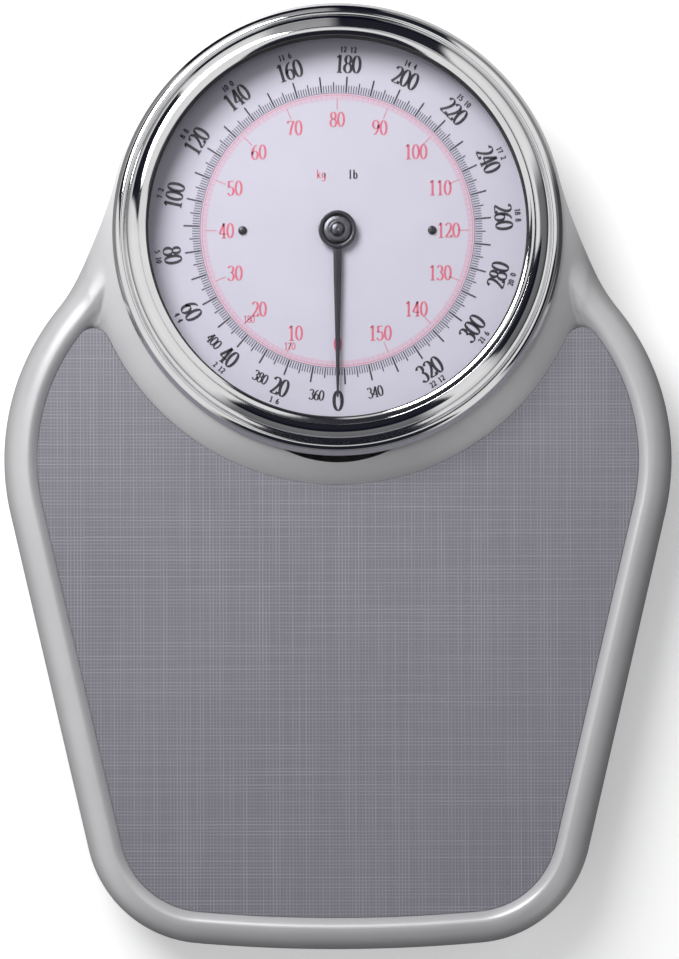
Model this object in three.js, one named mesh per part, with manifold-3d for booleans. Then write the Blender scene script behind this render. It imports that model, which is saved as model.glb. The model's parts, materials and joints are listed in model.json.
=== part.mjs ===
// A mechanical bathroom scale with a large round dial at its rear end.
//
// Millimetres. +Z is up, +X is to the user's right, and +Y points from the user to the dial.
// The origin is on the floor, under the middle of the overall length and width.
//
// How it works: the platform hangs four stirrups on four levers. Each lever rests on a fulcrum
// bracket in the base pan. The short levers press on the long ones, whose tips press the nose
// plate down against two springs. A bell crank follows the nose plate and draws a rack past a
// pinion, and the pinion's shaft carries the pointer.

import * as THREE from "three";
import { mergeVertices } from "three/addons/utils/BufferGeometryUtils.js";
import Module from "manifold-3d";

const wasm = await Module();
wasm.setup();

// ---------------------------------------------------------------- driving dimensions

const gap = 0.3; // between pieces that touch

// Body outline, seen from above
const overallLength = 430;
const overallWidth = 307;
const headRadius = 102.5; // body round the dial
const neckRadius = 150; // hollow curve from the head to the shoulder
const shoulderRadius = 110;
const shoulderSetback = 102.5; // from the dial's axis forward to the shoulder's centre
const sideTaper = radians(13); // sides draw in towards the user
const cornerRadius = 56;
const frontRadius = 740; // nearly straight front edge

// Platform shell and mat
const shellSheet = 1.2;
const skirtBottom = 16;
const rimEdge = 26; // where the skirt turns into the rim
const rimWidth = 17;
const rimSlope = 12; // of the rim's width, the part that falls to the skirt
const rimCrest = 44.5;
const deckTop = 38;
const matThickness = 2;
const matCorner = 8; // rounding of the mat's two horns
const collarTop = 47;
const collarWall = 1.7; // ring of the collar's top edge
const collarBand = 11.5; // sloped band from the head's wall to the mat

// Base pan and feet
const panFloor = 6; // underside
const panSheet = 1.5;
const panClearance = 2.3; // pan to skirt
const panWallTop = 24;
const panTurn = 4; // size of the turn between floor and wall
const footRadius = 12;
const footStem = 4;

// Dial head
const housingUnderside = 46;
const housingSheet = 1.5;
const housingWallTop = 53.6;
const housingFlange = 7.5; // width of the lens seat
const dialSheet = 0.8;
const sealThickness = 1.2;
const sealWidth = 2.5;
const lensThickness = 2.5;
const bezelSheet = 1.2;
const bezelInset = 0.5; // bezel inside the head's outline
const collarGap = 1.2; // platform travel and a little more
const bezelTop = 64;
const flangeHeight = 4.2;
const grooveWidth = 2.6;
const flangeWidth = 4.4;
const windowRadius = 85.4; // opening that shows the dial

// Levers
const loadArm = 24; // fulcrum to load on every lever
const noseTravel = 12; // at full capacity
const leverThickness = 4;
const leverDepth = 11;
const noseSpacing = 14; // between the two long levers' tips
const knifeHeight = 4.5;
const knifeHalfWidth = 2.2;
const knifeLength = 18;
const fulcrumHeight = 19; // knife edges above the floor
const earClearance = 1.2; // lever to each ear of a bracket or stirrup
const earThickness = 1.5;
const earLength = 10;
const noseHeight = 23.5; // top of the nose plate

// Crank, rack, pinion and pointer
const toothModule = 0.5;
const pinionTeeth = 11;
const turnsAtCapacity = 1.125;
const crankHeadroom = 1.4; // crank to the housing's underside
const crankTine = 2.6; // fork past the crank's working length
const crankSheet = 2;
const crankTipRadius = 2; // round end that rests on the nose plate
const pivotRadius = 1.5;
const rackDepth = 3;
const rackThickness = 3;
const rackBacklash = 0.05; // taken off each flank
const shaftRadius = 1.2;
const shaftTop = 53;
const bearingClearance = 0.1;
const pointerHeight = 51.2;
const pointerSheet = 0.9;
const pointerLength = 75;
const hubRadius = 8.5;

// Springs and zero adjuster
const springRadius = 5.5;
const springWire = 0.9; // radius of the wire
const springTurns = 6;
const springSpacing = 34;
const anchorHeight = 40; // underside of the anchor arm
const anchorFront = 18; // anchor arm's pivot to the springs
const anchorRear = 14; // anchor arm's pivot to the zero screw
const wheelRadius = 21;
const wheelThickness = 4.5;
const wheelReach = 1.6; // rim out past the pan's wall
const screwRadius = 2.5;
const towerSheet = 1.5;

// ---------------------------------------------------------------- sizes that follow

const headY = overallLength / 2 - headRadius;
const matTop = deckTop + matThickness;
const panInset = shellSheet + panClearance;
const collarBore = headRadius - collarWall;
const bezelRadius = headRadius - bezelInset;
const bezelBottom = collarTop + collarGap;
const panTop = panFloor + panSheet; // upper face of the pan's floor
const sealBottom = housingWallTop + gap;
const lensBottom = sealBottom + sealThickness + gap;
const lensTop = lensBottom + lensThickness;
const beadRadius = bezelRadius - flangeWidth - grooveWidth; // outside of the bezel's tall bead
const housingRadius = beadRadius - bezelSheet - gap;
const lensRadius = housingRadius - bezelSheet - 2 * gap;
const dialBottom = housingUnderside + housingSheet + gap;
const dialTop = dialBottom + dialSheet;

// Along the head's own Y axis, from the dial's axis
const panRear = headRadius - panInset;
const screwY = panRear + wheelReach - wheelRadius;
const anchorY = screwY - anchorRear;
const noseY = anchorY - anchorFront;
const nosePlateReach = 10; // half the nose plate's length
const rackTravel = Math.PI * toothModule * pinionTeeth * turnsAtCapacity;
const crankPivotHeight = noseHeight + gap + crankTipRadius - noseTravel / 2;
const crankOutput = housingUnderside - crankHeadroom - crankTine - crankPivotHeight;
const crankSwing = 2 * Math.asin(rackTravel / 2 / crankOutput);
const crankInput = noseTravel / (2 * Math.sin(crankSwing / 2));
const crankTipOverlap = 2; // crank's tip onto the nose plate, at rest
const crankY = noseY - nosePlateReach + crankTipOverlap - crankInput * Math.cos(crankSwing / 2);
const rackJointY = crankY - rackTravel / 2;
const crankMatch = 0.85; // share of the half swing at which rack and crank agree exactly
const jointRise = (crankMatch * rackTravel) / 2 / Math.tan((crankMatch * crankSwing) / 2);
const jointHeight = crankPivotHeight + jointRise;
const rackHeight = jointHeight - rackDepth / 2; // underside
const pitchRadius = (toothModule * pinionTeeth) / 2;

// ---------------------------------------------------------------- plane geometry

function radians(degrees) {
  return (degrees * Math.PI) / 180;
}

// Where two circles, given by centre and radius, cross. pick chooses one of the two places.
function circlesCross(a, ra, b, rb, pick) {
  const away = b.clone().sub(a);
  const distance = away.length();
  const along = (distance ** 2 + ra ** 2 - rb ** 2) / (2 * distance);
  const across = Math.sqrt(ra ** 2 - along ** 2);
  const unit = away.divideScalar(distance);
  const side = new THREE.Vector2(-unit.y, unit.x);
  const found = [1, -1].map((s) =>
    a.clone().addScaledVector(unit, along).addScaledVector(side, s * across),
  );
  return found.reduce((best, p) => (pick(p, best) ? p : best));
}

function heading(from, to) {
  return Math.atan2(to.y - from.y, to.x - from.x);
}

function arcPoints({ centre, radius, from, to, steps }) {
  return Array.from({ length: steps + 1 }, (_, i) => {
    const angle = from + ((to - from) * i) / steps;
    return new THREE.Vector2(
      centre.x + radius * Math.cos(angle),
      centre.y + radius * Math.sin(angle),
    );
  });
}

const head = new THREE.Vector2(0, headY);
const shoulder = new THREE.Vector2(overallWidth / 2 - shoulderRadius, headY - shoulderSetback);
const front = new THREE.Vector2(0, frontRadius - overallLength / 2);
const neck = circlesCross(
  head,
  headRadius + neckRadius,
  shoulder,
  shoulderRadius + neckRadius,
  (p, best) => p.x > best.x,
);
const corner = cornerCentre();

// The corner's centre is one corner radius inside both the straight side and the front edge.
function cornerCentre() {
  const outward = new THREE.Vector2(Math.cos(sideTaper), -Math.sin(sideTaper));
  const down = new THREE.Vector2(-Math.sin(sideTaper), -Math.cos(sideTaper));
  const start = shoulder.clone().addScaledVector(outward, shoulderRadius - cornerRadius);
  const offset = start.clone().sub(front);
  const half = offset.dot(down);
  const reach = (frontRadius - cornerRadius) ** 2;
  return start.addScaledVector(down, -half + Math.sqrt(half ** 2 - offset.lengthSq() + reach));
}

// Right half of the body's outline, from the rear to the front, moved in by inset.
function halfOutline(inset) {
  const bulge = (centre, radius, from, to, steps) =>
    arcPoints({ centre, radius: radius - inset, from, to, steps });
  return [
    ...bulge(head, headRadius, Math.PI / 2, heading(head, neck), 14),
    ...arcPoints({
      centre: neck,
      radius: neckRadius + inset,
      from: heading(neck, head) + 2 * Math.PI,
      to: heading(neck, shoulder) + 2 * Math.PI,
      steps: 6,
    }).slice(1),
    ...bulge(shoulder, shoulderRadius, heading(shoulder, neck), -sideTaper, 9).slice(1),
    ...bulge(corner, cornerRadius, -sideTaper, heading(front, corner), 9),
    ...bulge(front, frontRadius, heading(front, corner), -Math.PI / 2, 4).slice(1),
  ];
}

// A closed outline from its right half, whose first and last points are on the centre line.
function mirrored(half) {
  const left = half.slice(1, -1).reverse();
  return [...half, ...left.map((p) => new THREE.Vector2(-p.x, p.y))];
}

function bodyOutline(inset) {
  return mirrored(halfOutline(inset));
}

// The mat follows the rim, rounds each horn and follows the foot of the collar.
function matOutline(clearance) {
  const inset = rimWidth + clearance;
  const hollow = headRadius + collarBand + clearance;
  const horn = circlesCross(
    shoulder,
    shoulderRadius - inset - matCorner,
    head,
    hollow + matCorner,
    (p, best) => p.x > best.x,
  );
  return mirrored([
    ...arcPoints({
      centre: head,
      radius: hollow,
      from: -Math.PI / 2,
      to: heading(head, horn),
      steps: 16,
    }),
    ...arcPoints({
      centre: horn,
      radius: matCorner,
      from: heading(horn, head),
      to: heading(shoulder, horn),
      steps: 6,
    }).slice(1),
    ...arcPoints({
      centre: shoulder,
      radius: shoulderRadius - inset,
      from: heading(shoulder, horn),
      to: -sideTaper,
      steps: 9,
    }).slice(1),
    ...arcPoints({
      centre: corner,
      radius: cornerRadius - inset,
      from: -sideTaper,
      to: heading(front, corner),
      steps: 8,
    }),
    ...arcPoints({
      centre: front,
      radius: frontRadius - inset,
      from: heading(front, corner),
      to: -Math.PI / 2,
      steps: 4,
    }).slice(1),
  ]);
}

// ---------------------------------------------------------------- solids

const WELD = 1e-4;

// A closed three.js geometry as a manifold-3d solid that faces outwards.
function solid(geometry) {
  const bare = geometry.index ? geometry.toNonIndexed() : geometry.clone();
  bare.deleteAttribute("normal");
  bare.deleteAttribute("uv");
  const merged = mergeVertices(bare, WELD);
  const build = (flip) => {
    const corners = [];
    for (let i = 0; i < merged.index.count; i += 3) {
      const [a, b, c] = [0, 1, 2].map((k) => merged.index.getX(i + k));
      if (a !== b && b !== c && c !== a) corners.push(a, ...(flip ? [c, b] : [b, c]));
    }
    return new wasm.Manifold(
      new wasm.Mesh({
        numProp: 3,
        vertProperties: merged.attributes.position.array,
        triVerts: Uint32Array.from(corners),
      }),
    );
  };
  const made = build(false);
  return made.volume() < 0 ? build(true) : made;
}

function block([x0, x1], [y0, y1], [z0, z1]) {
  const box = new THREE.BoxGeometry(x1 - x0, y1 - y0, z1 - z0);
  return solid(box.translate((x0 + x1) / 2, (y0 + y1) / 2, (z0 + z1) / 2));
}

// An upright round bar.
function rod(radius, z0, z1, { x = 0, y = 0, sides = 20 } = {}) {
  const bar = new THREE.CylinderGeometry(radius, radius, z1 - z0, sides);
  return solid(bar.rotateX(Math.PI / 2).translate(x, y, (z0 + z1) / 2));
}

// A round bar along X.
function crossRod(radius, x0, x1, { y = 0, z = 0, sides = 16 } = {}) {
  const bar = new THREE.CylinderGeometry(radius, radius, x1 - x0, sides);
  return solid(bar.rotateZ(Math.PI / 2).translate((x0 + x1) / 2, y, z));
}

// An outline in the XY plane, drawn up from z0 to z1.
function plate(outline, z0, z1, holes = []) {
  const shape = new THREE.Shape(outline);
  shape.holes = holes.map((hole) => new THREE.Path(hole));
  const drawn = new THREE.ExtrudeGeometry(shape, { depth: z1 - z0, bevelEnabled: false });
  return solid(drawn.translate(0, 0, z0));
}

// An outline of [y, z] pairs, drawn along X from x0 to x1.
function profileAlongX(outline, x0, x1) {
  const shape = new THREE.Shape(outline.map(([y, z]) => new THREE.Vector2(y, z)));
  const drawn = new THREE.ExtrudeGeometry(shape, { depth: x1 - x0, bevelEnabled: false });
  const turn = new THREE.Matrix4().makeBasis(
    new THREE.Vector3(0, 1, 0),
    new THREE.Vector3(0, 0, 1),
    new THREE.Vector3(1, 0, 0),
  );
  return solid(drawn.applyMatrix4(turn).translate(x0, 0, 0));
}

// A profile of [radius, z] pairs turned about the Z axis. It closes on itself.
function turned(profile, sides = 64) {
  const points = profile.map(([r, z]) => new THREE.Vector2(r, z));
  const onAxis = profile[0][0] === 0 && profile.at(-1)[0] === 0;
  if (!onAxis) points.push(points[0].clone());
  return solid(new THREE.LatheGeometry(points, sides).rotateX(Math.PI / 2));
}

// A stack of outlines with the same number of points, each at its own height, capped at both ends.
function stack(layers) {
  const count = layers[0].outline.length;
  const corners = layers.flatMap(({ outline, z }) => outline.flatMap((p) => [p.x, p.y, z]));
  const faces = [];
  for (let level = 0; level + 1 < layers.length; level += 1) {
    for (let i = 0; i < count; i += 1) {
      const [a, b] = [level * count + i, level * count + ((i + 1) % count)];
      faces.push(a, b, b + count, a, b + count, a + count);
    }
  }
  const last = (layers.length - 1) * count;
  for (const [a, b, c] of THREE.ShapeUtils.triangulateShape(layers[0].outline, [])) {
    faces.push(c, b, a);
  }
  for (const [a, b, c] of THREE.ShapeUtils.triangulateShape(layers.at(-1).outline, [])) {
    faces.push(a + last, b + last, c + last);
  }
  const made = new THREE.BufferGeometry();
  made.setAttribute("position", new THREE.Float32BufferAttribute(corners, 3));
  made.setIndex(faces);
  // outlines run clockwise, so the sides and the caps are turned to agree
  const clockwise = THREE.ShapeUtils.isClockWise(layers[0].outline);
  if (clockwise) {
    const sides = 6 * count * (layers.length - 1);
    for (let i = 0; i < sides; i += 3) [faces[i + 1], faces[i + 2]] = [faces[i + 2], faces[i + 1]];
    made.setIndex(faces);
  }
  return solid(made);
}

// A round wire along a curve.
function wire(curve, radius, steps, sides = 6) {
  const section = new THREE.Shape(
    arcPoints({ centre: new THREE.Vector2(), radius, from: 0, to: 2 * Math.PI, steps: sides }).slice(0, -1),
  );
  return solid(
    new THREE.ExtrudeGeometry(section, { steps, bevelEnabled: false, extrudePath: curve }),
  );
}

function mergeAll(solids) {
  return solids.reduce((all, next) => all.add(next));
}

// ---------------------------------------------------------------- meshes

const finishes = {
  silverPaint: { color: 0xc4c5c6, roughness: 0.35, metalness: 0.35 },
  greyVinyl: { color: 0x85858c, roughness: 0.7, metalness: 0 },
  chrome: { color: 0xe8e8ea, roughness: 0.08, metalness: 1 },
  glass: { color: 0xffffff, roughness: 0.05, metalness: 0 },
  dialWhite: { color: 0xd9d8e4, roughness: 0.55, metalness: 0 },
  blackEnamel: { color: 0x1c1b22, roughness: 0.35, metalness: 0.2 },
  blackPlastic: { color: 0x18181a, roughness: 0.5, metalness: 0 },
  rubber: { color: 0x1b1b1c, roughness: 0.9, metalness: 0 },
  zincSteel: { color: 0xb9babd, roughness: 0.35, metalness: 0.9 },
  springSteel: { color: 0x8c8d90, roughness: 0.3, metalness: 1 },
  brass: { color: 0xc9a24c, roughness: 0.3, metalness: 1 },
  greyPaint: { color: 0x9a9b9d, roughness: 0.45, metalness: 0.3 },
};

function mesh(name, made, finish, position = [0, 0, 0]) {
  const { vertProperties, triVerts } = made.getMesh();
  const geometry = new THREE.BufferGeometry();
  geometry.setAttribute("position", new THREE.BufferAttribute(vertProperties, 3));
  geometry.setIndex(new THREE.BufferAttribute(triVerts, 1));
  geometry.computeVertexNormals();
  const found = new THREE.Mesh(geometry, new THREE.MeshStandardMaterial(finishes[finish]));
  found.name = name;
  found.position.set(...position);
  return found;
}

function group(children, position = [0, 0, 0]) {
  const made = new THREE.Group();
  made.add(...children);
  made.position.set(...position);
  return made;
}

// ---------------------------------------------------------------- platform

// The rim's section is a long quarter ellipse up from the skirt and a short one down to the mat.
function rimLayers(sheet) {
  const at = (angle, reach, foot) => ({
    inset: rimSlope - (reach - sheet) * Math.cos(angle),
    z: foot + (rimCrest - sheet - foot) * Math.sin(angle),
  });
  const rising = [0, 15, 30, 45, 60, 75, 90].map((a) => at(radians(a), rimSlope, rimEdge));
  const ledge = rimWidth - rimSlope;
  const falling = [112, 135, 157, 180].map((a) => at(radians(a), ledge, matTop - sheet));
  return [...rising, ...falling];
}

// The platform as a solid block, shrunk by the thickness of its sheet where sheet isn't 0.
function platformBlock(sheet) {
  const layers = [
    { inset: sheet, z: skirtBottom - sheet },
    ...rimLayers(sheet),
    { inset: rimWidth + sheet, z: deckTop - sheet },
  ].map(({ inset, z }) => ({ outline: bodyOutline(inset), z }));
  const outer = headRadius + collarBand;
  const cone = turned([
    [0, skirtBottom],
    [outer, skirtBottom],
    [outer, deckTop - sheet],
    [outer - 0.5, matTop - sheet],
    [outer - collarBand * 0.45, matTop + (collarTop - matTop) * 0.42 - sheet],
    [headRadius + 1.5, collarTop - 1 - sheet],
    [headRadius, collarTop - sheet],
    [0, collarTop - sheet],
  ], 72).translate([0, headY, 0]);
  const within = plate(bodyOutline(sheet), skirtBottom - sheet, collarTop);
  return stack(layers).add(cone.intersect(within));
}

function platformShell() {
  const bore = rod(collarBore, 0, collarTop + 1, { y: headY, sides: 72 });
  return platformBlock(0).subtract(platformBlock(shellSheet)).subtract(bore);
}

function platformMat() {
  return plate(matOutline(gap), deckTop + 0.1, matTop);
}

// ---------------------------------------------------------------- base

function basePan() {
  const floorInset = panInset + panTurn;
  const turn = (sheet) =>
    [0, 30, 60, 90].map((a) => ({
      inset: floorInset - (panTurn - sheet) * Math.sin(radians(a)),
      z: panFloor + panTurn - (panTurn - sheet) * Math.cos(radians(a)),
    }));
  const layers = (sheet, top) =>
    [...turn(sheet), { inset: panInset + sheet, z: top }].map(({ inset, z }) => ({
      outline: bodyOutline(inset),
      z,
    }));
  const pan = stack(layers(0, panWallTop)).subtract(stack(layers(panSheet, panWallTop + 1)));
  const holes = [
    ...feet.map(({ x, y }) => rod(footStem + gap, 0, panTop + 1, { x, y })),
    ...posts.map(({ x, y }) => rod(postScrew + gap, 0, panTop + 1, { x, y: y + headY, sides: 12 })),
    rod(screwRadius + gap, 0, panTop + 1, { y: headY + screwY }),
    wheelSlot(),
  ];
  return pan.subtract(mergeAll(holes));
}

// The zero wheel's rim comes out through the rear wall.
function wheelSlot() {
  const halfWidth = Math.sqrt(wheelRadius ** 2 - (wheelRadius - wheelReach - panTurn) ** 2) + 2;
  const y = headY + panRear;
  return block([-halfWidth, halfWidth], [y - panTurn, y + 5], [wheelBottom - 1, wheelTop + 1.2]);
}

const postScrew = 2;
const postRadius = 5;
const postCircle = 75;
const posts = [-90, 30, 150].map((degrees) => ({
  x: postCircle * Math.cos(radians(degrees)),
  y: postCircle * Math.sin(radians(degrees)),
}));
const postNames = ["front", "right", "left"];

// Feet stand near the fulcrum brackets, just outside them
const feet = [
  { name: "front_right", x: corner.x + 16, y: corner.y - 32 },
  { name: "front_left", x: -corner.x - 16, y: corner.y - 32 },
  { name: "rear_right", x: shoulder.x + 56, y: shoulder.y + 62 },
  { name: "rear_left", x: -shoulder.x - 56, y: shoulder.y + 62 },
];

function foot() {
  return turned(
    [
      [0, 0],
      [footRadius - 1.5, 0],
      [footRadius, 1.5],
      [footRadius - 1, panFloor - gap],
      [footStem, panFloor - gap],
      [footStem, panTop + gap],
      [footStem + 1.6, panTop + gap],
      [footStem, panTop + 2.5],
      [0, panTop + 2.5],
    ],
    28,
  );
}

// Two upright ears on a footplate, with a V notch on top of each ear for a knife edge.
function fulcrumBracket() {
  const [inner, outer] = [earSpan / 2, earSpan / 2 + earThickness];
  const base = panTop + gap;
  const top = fulcrumHeight + 2.5;
  const half = earLength / 2;
  const notch = knifeHalfWidth + 0.8;
  const outline = [
    [-half - 3, base],
    [half + 3, base],
    [half, top],
    [notch, top],
    [0, fulcrumHeight - gap],
    [-notch, top],
    [-half, top],
  ];
  return mergeAll([
    profileAlongX(outline, inner, outer),
    profileAlongX(outline, -outer, -inner),
    block([-outer - 6, outer + 6], [-half - 3, half + 3], [base, base + earThickness]),
  ]);
}

function housingPost() {
  const [bottom, top] = [panTop + gap, housingUnderside - gap];
  const spigot = rod(postScrew, top - 1, housingUnderside + housingSheet, { sides: 12 });
  return rod(postRadius, bottom, top, { sides: 6 })
    .add(spigot)
    .subtract(rod(postScrew + gap, bottom - 1, bottom + 10, { sides: 12 }));
}

function postScrewPiece() {
  return turned(
    [
      [0, panFloor - 2.4],
      [3, panFloor - 2.4],
      [4, panFloor - 1.4],
      [4, panFloor - gap],
      [postScrew, panFloor - gap],
      [postScrew, panTop + 9],
      [0, panTop + 9],
    ],
    16,
  );
}

// ---------------------------------------------------------------- dial head, about the dial's axis

function dialHousing() {
  const inner = housingRadius - housingSheet;
  const bowl = turned([
    [0, housingUnderside],
    [housingRadius, housingUnderside],
    [housingRadius, housingWallTop],
    [housingRadius - housingFlange, housingWallTop],
    [housingRadius - housingFlange, housingWallTop - housingSheet],
    [inner, housingWallTop - housingSheet],
    [inner, housingUnderside + housingSheet],
    [0, housingUnderside + housingSheet],
  ]);
  const bore = (radius, x, y) =>
    rod(radius, housingUnderside - 1, housingUnderside + housingSheet + 1, { x, y, sides: 16 });
  return bowl.subtract(
    mergeAll([
      bore(bushRadius + gap, 0, 0),
      ...posts.map(({ x, y }) => bore(postScrew + gap, x, y)),
      ...[-1, 1].map((side) => bore(dialScrewRadius + gap, side * dialScrewX, 0)),
      bore(springPostRadius + gap, springPostX, springPostY),
    ]),
  );
}

const bushRadius = 4;
const dialScrewX = 42.5;
const dialScrewRadius = 1.2;

function dialPlate() {
  const radius = housingRadius - housingSheet - 2 * gap;
  const disc = rod(radius, dialBottom, dialTop, { sides: 64 });
  const holes = [
    rod(bushRadius + 1.6, dialBottom - 1, dialTop + 1),
    ...[-1, 1].map((side) =>
      rod(dialScrewRadius + gap, dialBottom - 1, dialTop + 1, { x: side * dialScrewX, sides: 12 }),
    ),
  ];
  return disc.subtract(mergeAll(holes));
}

function dialScrew() {
  return turned(
    [
      [0, housingUnderside + gap],
      [dialScrewRadius, housingUnderside + gap],
      [dialScrewRadius, dialTop + gap],
      [2.1, dialTop + gap],
      [1.5, dialTop + 1.2],
      [0, dialTop + 1.4],
    ],
    16,
  );
}

function lensSeal() {
  const outer = lensRadius;
  return turned([
    [outer - sealWidth, sealBottom],
    [outer, sealBottom],
    [outer, sealBottom + sealThickness],
    [outer - sealWidth, sealBottom + sealThickness],
  ]);
}

function lens() {
  return rod(lensRadius, lensBottom, lensTop, { sides: 64 });
}

// A pressed ring: an outer flange, a groove and a tall round bead whose inner lip holds the lens.
function bezel() {
  const flangeTop = bezelBottom + flangeHeight;
  const lip = lensTop + gap;
  const crest = (beadRadius + windowRadius) / 2;
  const outside = [
    [bezelRadius, bezelBottom],
    [bezelRadius, flangeTop - 1.6],
    [bezelRadius - 0.7, flangeTop - 0.5],
    [bezelRadius - flangeWidth / 2, flangeTop],
    [bezelRadius - flangeWidth + 0.6, flangeTop - 0.4],
    [bezelRadius - flangeWidth - 0.2, flangeTop - 1.2],
    [beadRadius + 0.4, flangeTop - 0.4],
    [beadRadius - 0.2, flangeTop + 3],
    [beadRadius - 1, bezelTop - 3.4],
    [beadRadius - 2.4, bezelTop - 1],
    [crest, bezelTop],
    [crest - 2.2, bezelTop - 0.9],
    [windowRadius + 1.2, bezelTop - 3.4],
    [windowRadius, lip],
  ];
  const inside = [
    [lensRadius + gap, lip],
    [lensRadius + gap, lip + 0.6],
    [beadRadius - bezelSheet, lip - 1.2],
    [beadRadius - bezelSheet, bezelBottom],
    [beadRadius, bezelBottom],
    [beadRadius, flangeTop - 1.2 - bezelSheet],
    [bezelRadius - bezelSheet, flangeTop - 1.2 - bezelSheet],
    [bezelRadius - bezelSheet, bezelBottom],
  ];
  return turned([...outside, ...inside], 64);
}

function pinionBush() {
  const top = dialTop + 1;
  return turned(
    [
      [shaftRadius + bearingClearance, housingUnderside - 1.2],
      [bushRadius + 1.2, housingUnderside - 1.2],
      [bushRadius + 1.2, housingUnderside - gap],
      [bushRadius, housingUnderside - gap],
      [bushRadius, top],
      [shaftRadius + bearingClearance, top],
    ],
    24,
  );
}

const bridgeBottom = 33;
const bridgeLeft = -13.5;
const bridgeRight = 10.5;

// A strap under the housing that carries the lower end of the pinion's shaft, below the rack.
function pinionBridge() {
  const [y0, y1] = [-5, 5];
  const top = housingUnderside - gap;
  const strap = mergeAll([
    block([bridgeLeft, bridgeRight], [y0, y1], [bridgeBottom, bridgeBottom + 1.5]),
    block([bridgeLeft, bridgeLeft + 1.5], [y0, y1], [bridgeBottom, top]),
    block([bridgeRight - 1.5, bridgeRight], [y0, y1], [bridgeBottom, top]),
    block([bridgeLeft - 6, bridgeLeft + 1.5], [y0, y1], [top - 1.5, top]),
    block([bridgeRight - 1.5, bridgeRight + 6], [y0, y1], [top - 1.5, top]),
  ]);
  const bearing = rod(shaftRadius + bearingClearance, bridgeBottom - 1, bridgeBottom + 2, { sides: 24 });
  return strap.subtract(bearing);
}

// ---------------------------------------------------------------- rack and pinion

// The part of an involute tooth's half angle that changes with the radius.
function involute(radius) {
  const angle = Math.acos(Math.min(1, (pitchRadius * Math.cos(radians(20))) / radius));
  return Math.tan(angle) - angle;
}

const pinionRoot = pitchRadius - 0.62;
const pinionTip = pitchRadius + toothModule;

function pinionOutline() {
  const base = pitchRadius * Math.cos(radians(20));
  const half = Math.PI / (2 * pinionTeeth) - rackBacklash / pitchRadius;
  const flank = [pinionRoot, base, base + 0.2, base + 0.42, pinionTip].map((radius) => [
    radius,
    half + involute(pitchRadius) - involute(radius),
  ]);
  const outline = [];
  for (let tooth = 0; tooth < pinionTeeth; tooth += 1) {
    // a gap faces the rack, on the -X side
    const middle = Math.PI + ((tooth + 0.5) * 2 * Math.PI) / pinionTeeth;
    const rising = flank.map(([r, a]) => [r, middle - a]);
    const falling = flank.map(([r, a]) => [r, middle + a]).reverse();
    for (const [r, a] of [...rising, ...falling]) {
      outline.push(new THREE.Vector2(r * Math.cos(a), r * Math.sin(a)));
    }
  }
  return outline;
}

function pinionShaft() {
  const shaft = rod(shaftRadius, bridgeBottom + 0.2, shaftTop, { sides: 24 });
  return shaft.add(plate(pinionOutline(), rackHeight - 0.5, rackHeight + rackDepth + 0.5));
}

const rackAddendum = 0.32;
const rackRoot = -pitchRadius - 0.65;
const rackBack = rackRoot - rackThickness;
const jointPin = 1.2;
const crankFace = 0; // the crank's left face

// Trapezoid teeth towards +X, and a tail that reaches across to the crank.
function rack() {
  const pitch = Math.PI * toothModule;
  const slope = Math.tan(radians(20));
  const half = pitch / 4 - rackBacklash;
  const rear = 2;
  const first = -Math.ceil(rackTravel / pitch) - 1;
  const frontEnd = (first - 0.5) * pitch;
  const tipX = -pitchRadius + rackAddendum;
  const outline = [new THREE.Vector2(rackBack, frontEnd), new THREE.Vector2(rackRoot, frontEnd)];
  for (let k = first; k <= rear; k += 1) {
    const [wide, narrow] = [half + 0.65 * slope, half - rackAddendum * slope];
    outline.push(
      new THREE.Vector2(rackRoot, k * pitch - wide),
      new THREE.Vector2(tipX, k * pitch - narrow),
      new THREE.Vector2(tipX, k * pitch + narrow),
      new THREE.Vector2(rackRoot, k * pitch + wide),
    );
  }
  const tail = rackJointY - 3;
  outline.push(
    new THREE.Vector2(rackRoot, tail),
    new THREE.Vector2(crankFace - 2 * gap, tail),
    new THREE.Vector2(crankFace - 2 * gap, rackJointY + 2.5),
    new THREE.Vector2(rackBack, rackJointY + 2.5),
  );
  const bar = plate(outline, rackHeight, rackHeight + rackDepth);
  return bar.add(
    crossRod(jointPin, rackBack + 1, crankFace + crankSheet + 1, { y: rackJointY, z: jointHeight }),
  );
}

// An angle under the housing that keeps the rack against the pinion.
function rackGuide() {
  const back = rackBack - gap;
  const top = housingUnderside - gap;
  const shelf = rackHeight - gap;
  const [y0, y1] = [-24, -8];
  return mergeAll([
    block([back - 1.5, back], [y0, y1], [shelf - 1.5, top]),
    block([back - 1.5, rackRoot - 0.5], [y0, y1], [shelf - 1.5, shelf]),
    block([back - 9, back], [y0, y1], [top - 1.5, top]),
  ]);
}

// ---------------------------------------------------------------- bell crank

const crankRest = crankSwing / 2; // input arm above level, output arm back from upright
const returnSpringArm = 11; // up the crank's output arm

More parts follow.
